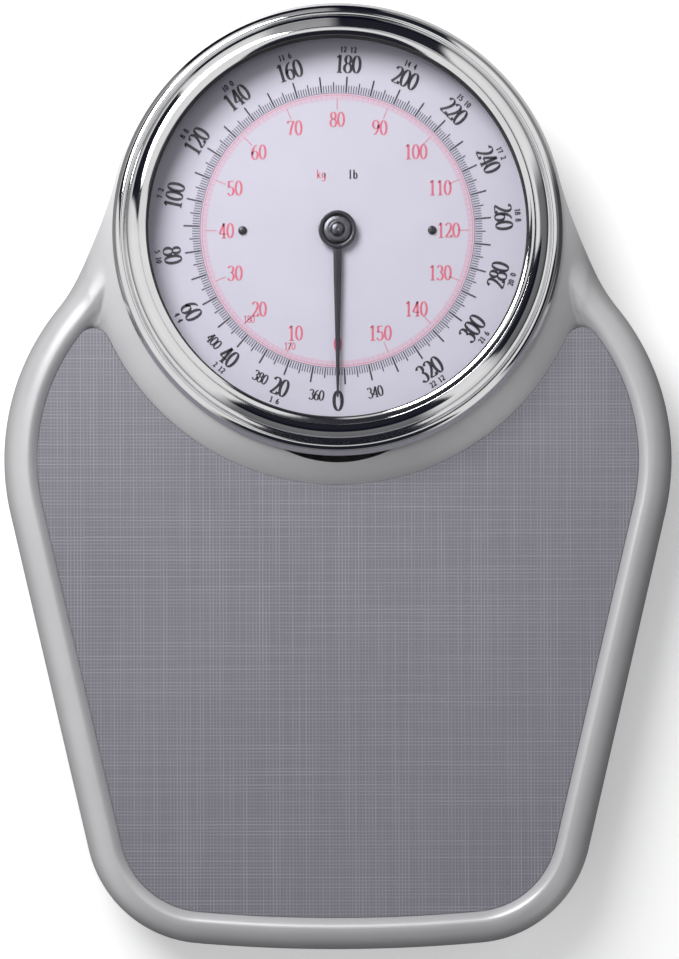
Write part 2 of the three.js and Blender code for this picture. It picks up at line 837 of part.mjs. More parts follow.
function bellCrank() {
  const top = crankOutput + crankTine;
  const fork = jointPin + 0.4; // half the fork's opening
  const arm = [
    [-3, -2.5],
    [0, -3.6],
    [3, -2.5],
    [5, -1],
    [crankInput, -1],
    [crankInput, 1],
    [5, 3.6],
    [fork + 1.4, crankOutput - 6],
    [fork + 1.8, top],
    [-fork - 1.8, top],
    [-fork - 1.4, crankOutput - 6],
  ];
  const forkFoot = jointRise - fork - 0.2;
  const opening = [
    [-fork, forkFoot],
    [fork, forkFoot],
    [fork, top + 1],
    [-fork, top + 1],
  ];
  return profileAlongX(arm, 0, crankSheet)
    .add(crossRod(3.4, 0, crankSheet, { sides: 20 }))
    .add(crossRod(crankTipRadius, 0, crankSheet, { y: crankInput, sides: 20 }))
    .add(crossRod(springStub, crankSheet / 2, springPostX + 1.5, { z: returnSpringArm }))
    .subtract(crossRod(pivotRadius + bearingClearance, -1, crankSheet + 1, { sides: 20 }))
    .subtract(profileAlongX(opening, -1, crankSheet + 1))
    .rotate([THREE.MathUtils.radToDeg(crankRest), 0, 0])
    .translate([crankFace, crankY, crankPivotHeight]);
}

const crankEar = 2; // crank to each ear

function crankBracket() {
  const [left, right] = [crankFace - crankEar, crankFace + crankSheet + crankEar];
  const base = panTop + gap;
  const ear = [
    [-6, base],
    [6, base],
    [4, crankPivotHeight + 3],
    [-4, crankPivotHeight + 3],
  ];
  const bracket = mergeAll([
    profileAlongX(ear, left - earThickness, left),
    profileAlongX(ear, right, right + earThickness),
    block([left - earThickness - 4, right + earThickness + 4], [-6, 6], [base, base + earThickness]),
  ]);
  const bore = crossRod(pivotRadius + gap, left - 4, right + 4, { z: crankPivotHeight });
  return bracket.subtract(bore).translate([0, crankY, 0]);
}

function crankPin() {
  const [left, right] = [crankFace - crankEar - 3, crankFace + crankSheet + crankEar + 3];
  return crossRod(pivotRadius, left, right, { y: crankY, z: crankPivotHeight, sides: 20 });
}

// ---------------------------------------------------------------- pointer

function pointer() {
  const [z0, z1] = [pointerHeight, pointerHeight + pointerSheet];
  const needle = plate(
    [
      new THREE.Vector2(-1.9, -hubRadius + 1),
      new THREE.Vector2(-1, -pointerLength * 0.62),
      new THREE.Vector2(-0.4, -pointerLength),
      new THREE.Vector2(0.4, -pointerLength),
      new THREE.Vector2(1, -pointerLength * 0.62),
      new THREE.Vector2(1.9, -hubRadius + 1),
    ],
    z0,
    z1,
  );
  const hub = turned(
    [
      [shaftRadius + gap, z0],
      [hubRadius - 0.6, z0],
      [hubRadius, z0 + 0.6],
      [hubRadius - 0.5, z1 + 0.5],
      [hubRadius - 2.2, z1 + 0.5],
      [hubRadius - 2.2, z1],
      [shaftRadius + gap, z1],
    ],
    36,
  );
  return hub.add(needle);
}

function pointerCap() {
  const base = pointerHeight + pointerSheet + gap;
  const radius = hubRadius - 2.2 - gap;
  return turned(
    [
      [shaftRadius + gap, base],
      [radius, base],
      [radius, base + 0.5],
      [radius - 1.6, base + 0.9],
      [3, base + 1.1],
      [2.4, base + 2],
      [0, base + 2.3],
      [0, shaftTop + gap],
      [shaftRadius + gap, shaftTop + gap],
    ],
    28,
  );
}

// ---------------------------------------------------------------- levers

const frontFulcrum = { x: corner.x + 21.5, y: corner.y - 12 };
const rearFulcrum = { x: shoulder.x + 60.5, y: shoulder.y + 20 };
const noseReach = headY + noseY - frontFulcrum.y; // long lever, along Y
const noseTip = { x: noseSpacing / 2, y: headY + noseY };
const meetingY = (frontFulcrum.y + rearFulcrum.y) / 2;
const shortReach = rearFulcrum.y - meetingY;
const meetingX =
  frontFulcrum.x + ((noseTip.x - frontFulcrum.x) * (meetingY - frontFulcrum.y)) / noseReach;

// The ears leave room for the bar of the lever that slants most
const shortSlant = (rearFulcrum.x - meetingX) / shortReach;
const longSlant = (frontFulcrum.x - noseTip.x) / noseReach;
const slant = Math.max(shortSlant, longSlant);
const earSpan = leverThickness * Math.hypot(1, slant) + earLength * slant + 2 * earClearance;

// Height of the long lever's underside at a distance along Y from its fulcrum.
function longUnderside(distance) {
  const start = -leverDepth / 2;
  const end = noseHeight + gap - fulcrumHeight;
  return start + ((end - start) * distance) / noseReach;
}

// A knife edge along X. up is 1 where the edge points up and -1 where it points down.
function knife(up, grow = 0) {
  const reach = knifeLength / 2 + grow * 4;
  const wide = knifeHalfWidth + grow;
  const outline = [
    [0, up * grow * 1.4],
    [wide, up * -2.4],
    [wide, -up * (knifeHeight + grow)],
    [-wide, -up * (knifeHeight + grow)],
    [-wide, up * -2.4],
  ];
  return profileAlongX(outline, -reach, reach);
}

// A flat bar on edge from the fulcrum at the origin to a place given in plan, cut for its knives.
// outline holds [distance along Y, height] pairs.
function leverBar(outline, alongX, alongY, side) {
  const stretch = Math.hypot(alongX, alongY) / Math.abs(alongY);
  const drawn = outline.map(([y, z]) => [y * stretch, z]);
  const turn = THREE.MathUtils.radToDeg(Math.atan(-(side * alongX) / alongY));
  const bar = profileAlongX(drawn, -leverThickness / 2, leverThickness / 2).rotate([0, 0, turn]);
  const loadX = (side * alongX * loadArm) / Math.abs(alongY);
  const loadY = loadArm * Math.sign(alongY);
  return bar
    .subtract(knife(-1, gap))
    .subtract(knife(1, gap).translate([loadX, loadY, 0]));
}

function longLever(side) {
  const outline = [
    [-8, -leverDepth / 2],
    [loadArm + 30, longUnderside(loadArm + 30)],
    [noseReach - 14, longUnderside(noseReach - 14)],
    [noseReach - 4, longUnderside(noseReach)],
    [noseReach + 4, longUnderside(noseReach)],
    [noseReach + 4, longUnderside(noseReach) + 5],
    [noseReach - 20, longUnderside(noseReach) + 7],
    [noseReach / 2, longUnderside(noseReach / 2) + leverDepth],
    [0, leverDepth / 2 + 1],
    [-8, leverDepth / 2 - 1],
  ];
  return leverBar(outline, noseTip.x - frontFulcrum.x, noseReach, side);
}

function shortLever(side) {
  const tip = longUnderside(shortReach) + leverDepth + gap + 0.6;
  const outline = [
    [8, -leverDepth / 2],
    [-loadArm, -leverDepth / 2],
    [-shortReach + 22, tip - 1],
    [-shortReach + 14, tip],
    [-shortReach - 5, tip],
    [-shortReach - 5, tip + 3.5],
    [-shortReach + 18, tip + 6],
    [-loadArm, leverDepth / 2 + 1],
    [8, leverDepth / 2 - 1],
  ];
  return leverBar(
    outline.map(([y, z]) => [y, z]),
    meetingX - rearFulcrum.x,
    -shortReach,
    side,
  );
}

// Hangs under the deck, with an upside-down V notch at the foot of each ear.
function stirrup() {
  const [inner, outer] = [earSpan / 2, earSpan / 2 + earThickness];
  const top = deckTop - shellSheet - gap;
  const bottom = fulcrumHeight - 2.5;
  const half = earLength / 2;
  const notch = knifeHalfWidth + 0.8;
  const outline = [
    [-half, bottom],
    [-notch, bottom],
    [0, fulcrumHeight + gap],
    [notch, bottom],
    [half, bottom],
    [half + 3, top],
    [-half - 3, top],
  ];
  return mergeAll([
    profileAlongX(outline, inner, outer),
    profileAlongX(outline, -outer, -inner),
    block([-outer - 5, outer + 5], [-half - 3, half + 3], [top - earThickness, top]),
  ]);
}

// The four lever places: where the fulcrum is, and where the load hangs.
function leverPlace(row, side) {
  const longOne = row === "front";
  const at = longOne ? frontFulcrum : rearFulcrum;
  const alongX = longOne ? noseTip.x - frontFulcrum.x : meetingX - rearFulcrum.x;
  const alongY = longOne ? noseReach : -shortReach;
  const share = loadArm / Math.abs(alongY);
  return {
    fulcrum: [side * at.x, at.y, fulcrumHeight],
    load: [side * (at.x + alongX * share), at.y + alongY * share, fulcrumHeight],
  };
}

function leverGroup(row, side) {
  const name = `${row === "front" ? "long" : "short"}_lever_${side > 0 ? "right" : "left"}`;
  const { fulcrum, load } = leverPlace(row, side);
  const bar = row === "front" ? longLever(side) : shortLever(side);
  return group([
    mesh(name, bar, "zincSteel", fulcrum),
    mesh(`${name}_fulcrum_knife`, knife(-1), "springSteel", fulcrum),
    mesh(`${name}_load_knife`, knife(1), "springSteel", load),
  ]);
}

// ---------------------------------------------------------------- nose plate, springs, zero adjuster

const springHole = springWire + 0.5;

function nosePlate() {
  const half = springSpacing / 2 + 8;
  const [z0, z1] = [noseHeight - 2, noseHeight];
  const body = block([-half, half], [noseY - nosePlateReach, noseY + nosePlateReach], [z0, z1]);
  const lip = block([-half, half], [noseY + nosePlateReach - 2, noseY + nosePlateReach], [z1 - 1, z1 + 3]);
  const holes = [-1, 1].map((side) =>
    rod(springHole, z0 - 1, z1 + 1, { x: (side * springSpacing) / 2, y: noseY, sides: 12 }),
  );
  return body.add(lip).subtract(mergeAll(holes));
}

// A coil on the Z axis whose ends run along the axis, from the coil out to bottom and top.
class ExtensionSpring extends THREE.Curve {
  constructor({ bottom, top, coilBottom, coilTop, radius, turns }) {
    super();
    Object.assign(this, { bottom, top, coilBottom, coilTop, radius, turns });
  }
  getPoint(t) {
    const lead = 0.06; // the part of the curve in each straight end
    const ramp = 0.07; // the part of the coil that leaves the axis
    const share = THREE.MathUtils.clamp((t - lead) / (1 - 2 * lead), 0, 1);
    const radius = this.radius * THREE.MathUtils.smoothstep(Math.min(share, 1 - share), 0, ramp);
    const angle = 2 * Math.PI * this.turns * share;
    const coil = THREE.MathUtils.lerp(this.coilBottom, this.coilTop, share);
    const low = THREE.MathUtils.lerp(this.bottom, this.coilBottom, Math.min(1, t / lead));
    const high = THREE.MathUtils.lerp(this.top, this.coilTop, Math.min(1, (1 - t) / lead));
    const z = t < lead ? low : t > 1 - lead ? high : coil;
    return new THREE.Vector3(radius * Math.cos(angle), radius * Math.sin(angle), z);
  }
}

function mainSpring() {
  const [bottom, top] = [noseHeight - 2 - 1.6, anchorHeight + towerSheet + 1.6];
  const curve = new ExtensionSpring({
    bottom,
    top,
    coilBottom: noseHeight + 1.4,
    coilTop: anchorHeight - 1.4,
    radius: springRadius,
    turns: springTurns,
  });
  const coil = wire(curve, springWire, springTurns * 11 + 14, 5);
  const bead = (z) => rod(springHole + 0.9, z - 0.5, z + 0.5, { sides: 10 });
  return mergeAll([coil, bead(bottom + 0.3), bead(top - 0.3)]);
}

const springPostRadius = 1.2;
const springPostX = crankFace + crankSheet + 2.6;
const springPostY = crankY + 14;
const springStub = 0.8; // radius of the crank's stub that holds the spring
const returnSpringHeight = crankPivotHeight + returnSpringArm;

function springPost() {
  return rod(springPostRadius, returnSpringHeight - 1.8, housingUnderside + housingSheet, {
    x: springPostX,
    y: springPostY,
    sides: 12,
  }).add(
    rod(springPostRadius + 1.2, housingUnderside - 1.5, housingUnderside - gap, {
      x: springPostX,
      y: springPostY,
      sides: 12,
    }),
  );
}

// A light spring from the crank's stub back to the post.
function returnSpring() {
  const armY = crankY - Math.sin(crankRest) * returnSpringArm + springStub + gap;
  const length = springPostY - springPostRadius - gap - armY;
  const curve = new ExtensionSpring({
    bottom: 0,
    top: length,
    coilBottom: 2.5,
    coilTop: length - 2.5,
    radius: 1.5,
    turns: 7,
  });
  return wire(curve, 0.3, 70, 4)
    .rotate([-90, 0, 0])
    .translate([springPostX, armY, returnSpringHeight]);
}

const wheelBottom = panTop + 2;
const wheelTop = wheelBottom + wheelThickness;
const bridgeTop = wheelTop + 4;
const towerHalf = springSpacing / 2 + 11;
const armPivotHeight = anchorHeight - 2.5;

// Two cheeks that carry the anchor arm, joined over the zero wheel.
function springTower() {
  const base = panTop + gap;
  const [y0, y1] = [anchorY - 6, screwY + 7];
  const cheek = [
    [y0, base],
    [y1, base],
    [y1, bridgeTop],
    [anchorY + 6, armPivotHeight + 3],
    [y0, armPivotHeight + 3],
  ];
  const side = (s) => {
    const [a, b] = [s * towerHalf, s * (towerHalf + towerSheet)].sort((p, q) => p - q);
    const [c, d] = [s * towerHalf, s * (towerHalf + 9)].sort((p, q) => p - q);
    return profileAlongX(cheek, a, b).add(block([c, d], [y0, y1], [base, base + towerSheet]));
  };
  const bridge = block(
    [-towerHalf - 0.5, towerHalf + 0.5],
    [y0, y1],
    [bridgeTop - towerSheet, bridgeTop],
  );
  const bores = [
    rod(screwRadius + gap, bridgeTop - 4, bridgeTop + 1, { y: screwY }),
    crossRod(pivotRadius + gap, -towerHalf - 4, towerHalf + 4, { y: anchorY, z: armPivotHeight }),
  ];
  return mergeAll([side(1), side(-1), bridge]).subtract(mergeAll(bores));
}

function anchorPin() {
  const reach = towerHalf + towerSheet + 2;
  return crossRod(pivotRadius, -reach, reach, { y: anchorY, z: armPivotHeight });
}

// A plate that rocks on the anchor pin: springs at its front end, the zero screw at its rear.
function anchorArm() {
  const half = towerHalf - 1;
  const [z0, z1] = [anchorHeight, anchorHeight + towerSheet];
  const lug = (s) => {
    const [a, b] = [s * (half - towerSheet), s * half].sort((p, q) => p - q);
    return block([a, b], [anchorY - 4, anchorY + 4], [armPivotHeight - 3.5, z0 + 0.5]);
  };
  const outline = [
    new THREE.Vector2(-half, noseY - 4),
    new THREE.Vector2(half, noseY - 4),
    new THREE.Vector2(half, anchorY + 5),
    new THREE.Vector2(9, screwY + 7),
    new THREE.Vector2(-9, screwY + 7),
    new THREE.Vector2(-half, anchorY + 5),
  ];
  const holes = [
    ...[-1, 1].map((s) =>
      rod(springHole, z0 - 1, z1 + 1, { x: (s * springSpacing) / 2, y: noseY, sides: 12 }),
    ),
    rod(screwRadius + 0.6, z0 - 1, z1 + 1, { y: screwY }),
    crossRod(pivotRadius + gap, -half - 1, half + 1, { y: anchorY, z: armPivotHeight }),
  ];
  return mergeAll([plate(outline, z0, z1), lug(1), lug(-1)]).subtract(mergeAll(holes));
}

const nutBottom = anchorHeight + towerSheet + gap;

function zeroNut() {
  return rod(4.6, nutBottom, nutBottom + 2.6, { y: screwY, sides: 6 }).subtract(
    rod(screwRadius + gap + 0.2, nutBottom - 1, nutBottom + 4, { y: screwY }),
  );
}

// A knurled thumbwheel under the rear wall, in one piece with its screw.
function zeroWheel() {
  const ridges = 30;
  const outline = Array.from({ length: 2 * ridges }, (_, i) => {
    const radius = wheelRadius - (i % 2) * 0.8;
    const angle = (i * Math.PI) / ridges;
    return new THREE.Vector2(radius * Math.cos(angle), radius * Math.sin(angle));
  });
  return mergeAll([
    plate(outline, wheelBottom, wheelTop),
    rod(6, panTop + gap, bridgeTop - towerSheet - gap),
    rod(screwRadius, panFloor, nutBottom + 3),
  ]).translate([0, screwY, 0]);
}

// ---------------------------------------------------------------- assembly

const sides = [
  ["right", 1],
  ["left", -1],
];
const rows = ["front", "rear"];
const places = rows.flatMap((row) =>
  sides.map(([name, side]) => ({ row, side, name: `${row}_${name}`, ...leverPlace(row, side) })),
);

const base = group([
  mesh("base_pan", basePan(), "greyPaint"),
  ...feet.map(({ name, x, y }) => mesh(`foot_${name}`, foot(), "rubber", [x, y, 0])),
  ...places.map(({ name, fulcrum: [x, y] }) =>
    mesh(`fulcrum_bracket_${name}`, fulcrumBracket(), "zincSteel", [x, y, 0]),
  ),
]);

const platform = group([
  mesh("platform_shell", platformShell(), "silverPaint"),
  mesh("platform_mat", platformMat(), "greyVinyl"),
  ...places.map(({ name, load: [x, y] }) =>
    mesh(`stirrup_${name}`, stirrup(), "zincSteel", [x, y, 0]),
  ),
]);

const levers = group(places.map(({ row, side }) => leverGroup(row, side)));

const dialHead = group(
  [
    ...posts.map(({ x, y }, i) =>
      mesh(`housing_post_${postNames[i]}`, housingPost(), "brass", [x, y, 0]),
    ),
    ...posts.map(({ x, y }, i) =>
      mesh(`post_screw_${postNames[i]}`, postScrewPiece(), "zincSteel", [x, y, 0]),
    ),
    mesh("dial_housing", dialHousing(), "greyPaint"),
    mesh("dial_plate", dialPlate(), "dialWhite"),
    ...sides.map(([name, side]) =>
      mesh(`dial_screw_${name}`, dialScrew(), "blackEnamel", [side * dialScrewX, 0, 0]),
    ),
    mesh("lens_seal", lensSeal(), "rubber"),
    mesh("lens", lens(), "glass"),
    mesh("bezel", bezel(), "chrome"),
    mesh("pinion_bush", pinionBush(), "brass"),
    mesh("pinion_bridge", pinionBridge(), "zincSteel"),
    mesh("rack_guide", rackGuide(), "zincSteel"),
    mesh("crank_bracket", crankBracket(), "zincSteel"),
    mesh("crank_pin", crankPin(), "springSteel"),
    mesh("spring_tower", springTower(), "zincSteel"),
    mesh("anchor_pin", anchorPin(), "springSteel"),
    ...sides.map(([name, side]) =>
      mesh(`main_spring_${name}`, mainSpring(), "springSteel", [(side * springSpacing) / 2, noseY, 0]),
    ),
    mesh("return_spring", returnSpring(), "springSteel"),
    mesh("return_spring_post", springPost(), "brass"),
    mesh("nose_plate", nosePlate(), "zincSteel"),
    mesh("bell_crank", bellCrank(), "zincSteel"),
    mesh("rack", rack(), "brass"),
    mesh("pinion_shaft", pinionShaft(), "brass"),
    mesh("pointer", pointer(), "blackEnamel"),
    mesh("pointer_cap", pointerCap(), "blackEnamel"),
    mesh("zero_wheel", zeroWheel(), "blackPlastic"),
    mesh("anchor_arm", anchorArm(), "zincSteel"),
    mesh("zero_nut", zeroNut(), "brass"),
  ],
  [0, headY, 0],
);

export default group([base, platform, levers, dialHead]);
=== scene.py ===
# Looks for the dial scale: smooth shell, woven mat, printed dial, chrome bezel and studio light.
import json
import math

import bmesh
import bpy
import numpy as np
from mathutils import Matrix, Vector
from mathutils.geometry import delaunay_2d_cdt


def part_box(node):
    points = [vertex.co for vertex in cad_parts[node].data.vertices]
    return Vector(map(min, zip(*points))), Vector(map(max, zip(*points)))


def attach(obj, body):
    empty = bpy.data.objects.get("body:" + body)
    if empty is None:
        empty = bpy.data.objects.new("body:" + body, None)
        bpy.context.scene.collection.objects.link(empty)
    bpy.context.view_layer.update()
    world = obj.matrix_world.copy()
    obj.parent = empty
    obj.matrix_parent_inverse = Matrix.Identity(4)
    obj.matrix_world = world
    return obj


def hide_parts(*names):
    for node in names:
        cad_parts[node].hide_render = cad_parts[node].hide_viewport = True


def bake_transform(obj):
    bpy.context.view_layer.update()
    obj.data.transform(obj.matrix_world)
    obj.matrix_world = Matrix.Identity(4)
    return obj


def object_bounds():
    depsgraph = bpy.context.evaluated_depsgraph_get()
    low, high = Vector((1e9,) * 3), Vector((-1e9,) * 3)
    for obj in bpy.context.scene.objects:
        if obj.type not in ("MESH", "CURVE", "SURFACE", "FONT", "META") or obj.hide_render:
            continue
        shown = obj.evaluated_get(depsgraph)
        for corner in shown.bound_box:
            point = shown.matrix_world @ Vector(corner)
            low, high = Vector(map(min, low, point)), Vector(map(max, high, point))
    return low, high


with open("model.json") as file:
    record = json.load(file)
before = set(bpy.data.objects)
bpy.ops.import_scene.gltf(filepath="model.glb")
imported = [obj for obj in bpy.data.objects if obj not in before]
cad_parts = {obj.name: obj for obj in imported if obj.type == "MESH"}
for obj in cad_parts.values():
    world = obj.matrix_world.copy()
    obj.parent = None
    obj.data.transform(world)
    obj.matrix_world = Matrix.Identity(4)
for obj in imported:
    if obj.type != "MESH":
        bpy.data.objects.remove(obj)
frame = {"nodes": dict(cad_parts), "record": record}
cad_low, cad_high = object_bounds()
scene = bpy.context.scene
MM = 0.001

# ---------------------------------------------------------------- camera

CAMERA_HEIGHT = 0.840  # above the floor
CAMERA_FOV = math.radians(30.4)  # of the picture's long side
camera = bpy.data.objects.new("camera", bpy.data.cameras.new("camera"))
scene.collection.objects.link(camera)
scene.camera = camera
camera.location = (0.0007, 0.0008, CAMERA_HEIGHT)
camera.rotation_euler = (0, 0, math.radians(-0.12))
camera.data.sensor_width = 36
camera.data.lens = camera.data.sensor_width / 2 / math.tan(CAMERA_FOV / 2)

# ---------------------------------------------------------------- sizes, in mm

bezel_low, bezel_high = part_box("bezel")
mat_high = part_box("platform_mat")[1]
shell_low, shell_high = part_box("platform_shell")
lens_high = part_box("lens")[1]
dial_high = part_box("dial_plate")[1]
HEAD_Y = (bezel_low.y + bezel_high.y) / 2 / MM
HEAD_R = (cad_high.y / MM) - HEAD_Y
LENGTH = (cad_high.y - cad_low.y) / MM
WIDTH = (shell_high.x - shell_low.x) / MM
SHELL_TOP = shell_high.z / MM
SKIRT_BOTTOM = shell_low.z / MM
MAT_TOP = mat_high.z / MM
DIAL_TOP = dial_high.z / MM
LENS_TOP = lens_high.z / MM
BEZEL_TOP = bezel_high.z / MM
BEZEL_LOW = bezel_low.z / MM
BEZEL_R = (bezel_high.x - bezel_low.x) / 2 / MM

NECK_R = 150
SHOULDER_R = 110
SHOULDER_SETBACK = 102.5  # from the dial's axis forward to the shoulder's centre
SIDE_TAPER = math.radians(13)
CORNER_R = 56
FRONT_R = 740
RIM_EDGE = 26  # height of the skirt's upper end
RIM_WIDTH = 17
RIM_SLOPE = 13  # part of the rim's width that falls to the skirt
RIM_CREST = 43.6
COLLAR_BAND = 11.5  # width of the slope from the dial to the mat
COLLAR_WALL = 1.7
MAT_CORNER = 8
SHEET = 1.2
WINDOW_R = 85.4
RUN_TOGETHER = 14  # height over which the rim and the collar run into each other
NOTCH_R = 52.9
NOTCH_REACH = 104  # of the finger notch in front of the bezel, from the dial's axis
STEP = 1.4  # between points along the shell's outline
MAT_STEP = 1.2
BRIM = [0, 0.03, 0.12, 0.3, 0.6, 1.1]  # insets of the rows along the steep edge

# ---------------------------------------------------------------- outline


def cross(a, ra, b, rb, pick):
    """Where two circles cross; pick is a key, and the place with the largest key is chosen."""
    away = b - a
    distance = away.length
    along = (distance**2 + ra**2 - rb**2) / (2 * distance)
    across = math.sqrt(ra**2 - along**2)
    unit = away / distance
    side = Vector((-unit.y, unit.x))
    return max((a + unit * along + side * s * across for s in (1, -1)), key=pick)


def heading(a, b):
    return math.atan2(b.y - a.y, b.x - a.x)


def arc(centre, radius, start, end, step, inset=0):
    """Points along an arc; their count is that of the arc before it was inset."""
    count = max(2, round(abs(end - start) * (radius + inset) / step))
    angles = [start + (end - start) * i / count for i in range(count + 1)]
    return [centre + Vector((math.cos(t), math.sin(t))) * radius for t in angles]


head = Vector((0, HEAD_Y))
shoulder = Vector((WIDTH / 2 - SHOULDER_R, HEAD_Y - SHOULDER_SETBACK))
front = Vector((0, FRONT_R - LENGTH / 2))
neck = cross(head, HEAD_R + NECK_R, shoulder, SHOULDER_R + NECK_R, lambda p: p.x)


def corner_centre():
    """The front corner's centre, where its arc meets both the side and the front's long arc."""
    outward = Vector((math.cos(SIDE_TAPER), -math.sin(SIDE_TAPER)))
    down = Vector((-math.sin(SIDE_TAPER), -math.cos(SIDE_TAPER)))
    start = shoulder + outward * (SHOULDER_R - CORNER_R)
    offset = start - front
    half = offset.dot(down)
    reach = (FRONT_R - CORNER_R) ** 2
    return start + down * (-half + math.sqrt(half**2 - offset.length_squared + reach))


corner = corner_centre()


def straight(a, b, step):
    count = max(1, round((b - a).length / step))
    return [a.lerp(b, i / count) for i in range(1, count)]


def half_outline(inset, step):
    """The right half, clockwise from the head's back to the front's middle."""
    turn = 2 * math.pi
    neck_turn = heading(neck, head) + turn, heading(neck, shoulder) + turn
    right = arc(head, HEAD_R - inset, math.pi / 2, heading(head, neck), step, inset)
    right += arc(neck, NECK_R + inset, *neck_turn, step, -inset)[1:]
    right += arc(shoulder, SHOULDER_R - inset, heading(shoulder, neck), -SIDE_TAPER, step, inset)[1:]
    low = arc(corner, CORNER_R - inset, -SIDE_TAPER, heading(front, corner), step, inset)
    right += straight(right[-1], low[0], step * 2) + low
    right += arc(front, FRONT_R - inset, heading(front, corner), -math.pi / 2, step * 2, inset)[1:]
    return right


def mirrored(right):
    return right + [Vector((-p.x, p.y)) for p in reversed(right[1:-1])]


def outline(inset, step):
    return mirrored(half_outline(inset, step))


def mat_outline(gap, step):
    """The mat's edge, or the hole in the shell for it, drawn in by a gap."""
    inset = RIM_WIDTH + gap
    hollow = HEAD_R + COLLAR_BAND + gap
    horn = cross(shoulder, SHOULDER_R - inset - MAT_CORNER, head, hollow + MAT_CORNER, lambda p: p.x)
    right = arc(head, hollow, -math.pi / 2, heading(head, horn), step)
    right += arc(horn, MAT_CORNER, heading(horn, head), heading(shoulder, horn), step * 0.7)[1:]
    right += arc(shoulder, SHOULDER_R - inset, heading(shoulder, horn), -SIDE_TAPER, step)[1:]
    low = arc(corner, CORNER_R - inset, -SIDE_TAPER, heading(front, corner), step)
    right += straight(right[-1], low[0], step * 2) + low
    right += arc(front, FRONT_R - inset, heading(front, corner), -math.pi / 2, step * 2)[1:]
    return mirrored(right)


# ---------------------------------------------------------------- mesh helpers


def new_object(name, verts, faces, body, material, smooth=True):
    """A mesh from points in millimetres, riding a body, with its material."""
    mesh = bpy.data.meshes.new(name)
    mesh.from_pydata([Vector(v) * MM for v in verts], [], faces)
    mesh.update()
    obj = bpy.data.objects.new(name, mesh)
    scene.collection.objects.link(obj)
    mesh.materials.append(material)
    mesh.polygons.foreach_set("use_smooth", [smooth] * len(mesh.polygons))
    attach(obj, body)
    return obj


def lathe(profile, centre, segments):
    """Vertices and faces of a closed profile of (radius, z) pairs turned about the upright axis."""
    x, y = centre
    verts, faces = [], []
    rings = len(profile)
    for r, z in profile:
        for i in range(segments):
            t = 2 * math.pi * i / segments
            verts.append((x + r * math.cos(t), y + r * math.sin(t), z))
    for k in range(rings):
        n = (k + 1) % rings
        for i in range(segments):
            j = (i + 1) % segments
            faces.append((k * segments + i, k * segments + j, n * segments + j, n * segments + i))
    return verts, faces


def bend(profile, radius, steps=6):
    """Rounds each inner corner of an open profile of (radius, z) pairs with an arc-like curve."""
    out = [profile[0]]
    for a, b, c in zip(profile, profile[1:], profile[2:]):
        a, b, c = Vector(a), Vector(b), Vector(c)
        reach = min(radius, (a - b).length * 0.48, (c - b).length * 0.48)
        p, q = b + (a - b).normalized() * reach, b + (c - b).normalized() * reach
        for i in range(steps + 1):
            t = i / steps
            v = p * (1 - t) ** 2 + b * (2 * t * (1 - t)) + q * t**2
            out.append((v.x, v.y))
    out.append(profile[-1])
    return out


# ---------------------------------------------------------------- materials


class Nodes:
    """A small helper to build a material's node tree."""

    def __init__(self, name):
        self.material = bpy.data.materials.new(name)
        self.material.use_nodes = True
        self.tree = self.material.node_tree
        self.bsdf = self.tree.nodes["Principled BSDF"]

    def add(self, kind, **values):
        node = self.tree.nodes.new(kind)
        for key, value in values.items():
            if key in node.inputs:
                node.inputs[key].default_value = value
            else:
                setattr(node, key, value)
        return node

    def link(self, a, b):
        self.tree.links.new(a, b)

    def set(self, **values):
        for key, value in values.items():
            self.bsdf.inputs[key.replace("_", " ")].default_value = value

    def place(self):
        return self.add("ShaderNodeTexCoord").outputs["Object"]

    def noise(self, scale, detail=3.0, roughness=0.5, vector=None):
        node = self.add("ShaderNodeTexNoise", Scale=scale, Detail=detail, Roughness=roughness)
        self.link(vector or self.place(), node.inputs["Vector"])
        return node.outputs["Fac"]

    def stretch(self, sizes):
        node = self.add("ShaderNodeMapping", Scale=sizes)
        self.link(self.place(), node.inputs["Vector"])
        return node.outputs["Vector"]

    def ramp(self, source, stops):
        node = self.add("ShaderNodeValToRGB")
        while len(node.color_ramp.elements) < len(stops):
            node.color_ramp.elements.new(0.5)
        for element, (at, colour) in zip(node.color_ramp.elements, stops):
            element.position = at
            element.color = (*colour, 1)
        self.link(source, node.inputs["Fac"])
        return node.outputs["Color"]

    def span(self, source, low, high):
        node = self.add("ShaderNodeMapRange")
        node.inputs["To Min"].default_value = low
        node.inputs["To Max"].default_value = high
        self.link(source, node.inputs["Value"])
        return node.outputs["Result"]

    def bump(self, source, strength, distance, previous=None):
        node = self.add("ShaderNodeBump", Strength=strength, Distance=distance)
        self.link(source, node.inputs["Height"])
        if previous:
            self.link(previous, node.inputs["Normal"])
        return node.outputs["Normal"]

    def math(self, operation, a, b=None):
        node = self.add("ShaderNodeMath", operation=operation)
        for i, value in enumerate(x for x in (a, b) if x is not None):
            if isinstance(value, (int, float)):
                node.inputs[i].default_value = value
            else:
                self.link(value, node.inputs[i])
        return node.outputs[0]

    def blend(self, factor, a, b):
        node = self.add("ShaderNodeMix", data_type="RGBA")
        for socket, value in ((0, factor), (6, a), (7, b)):
            if isinstance(value, (int, float)):
                node.inputs[socket].default_value = value
            elif isinstance(value, tuple):
                node.inputs[socket].default_value = (*value, 1)
            else:
                self.link(value, node.inputs[socket])
        return node.outputs[2]


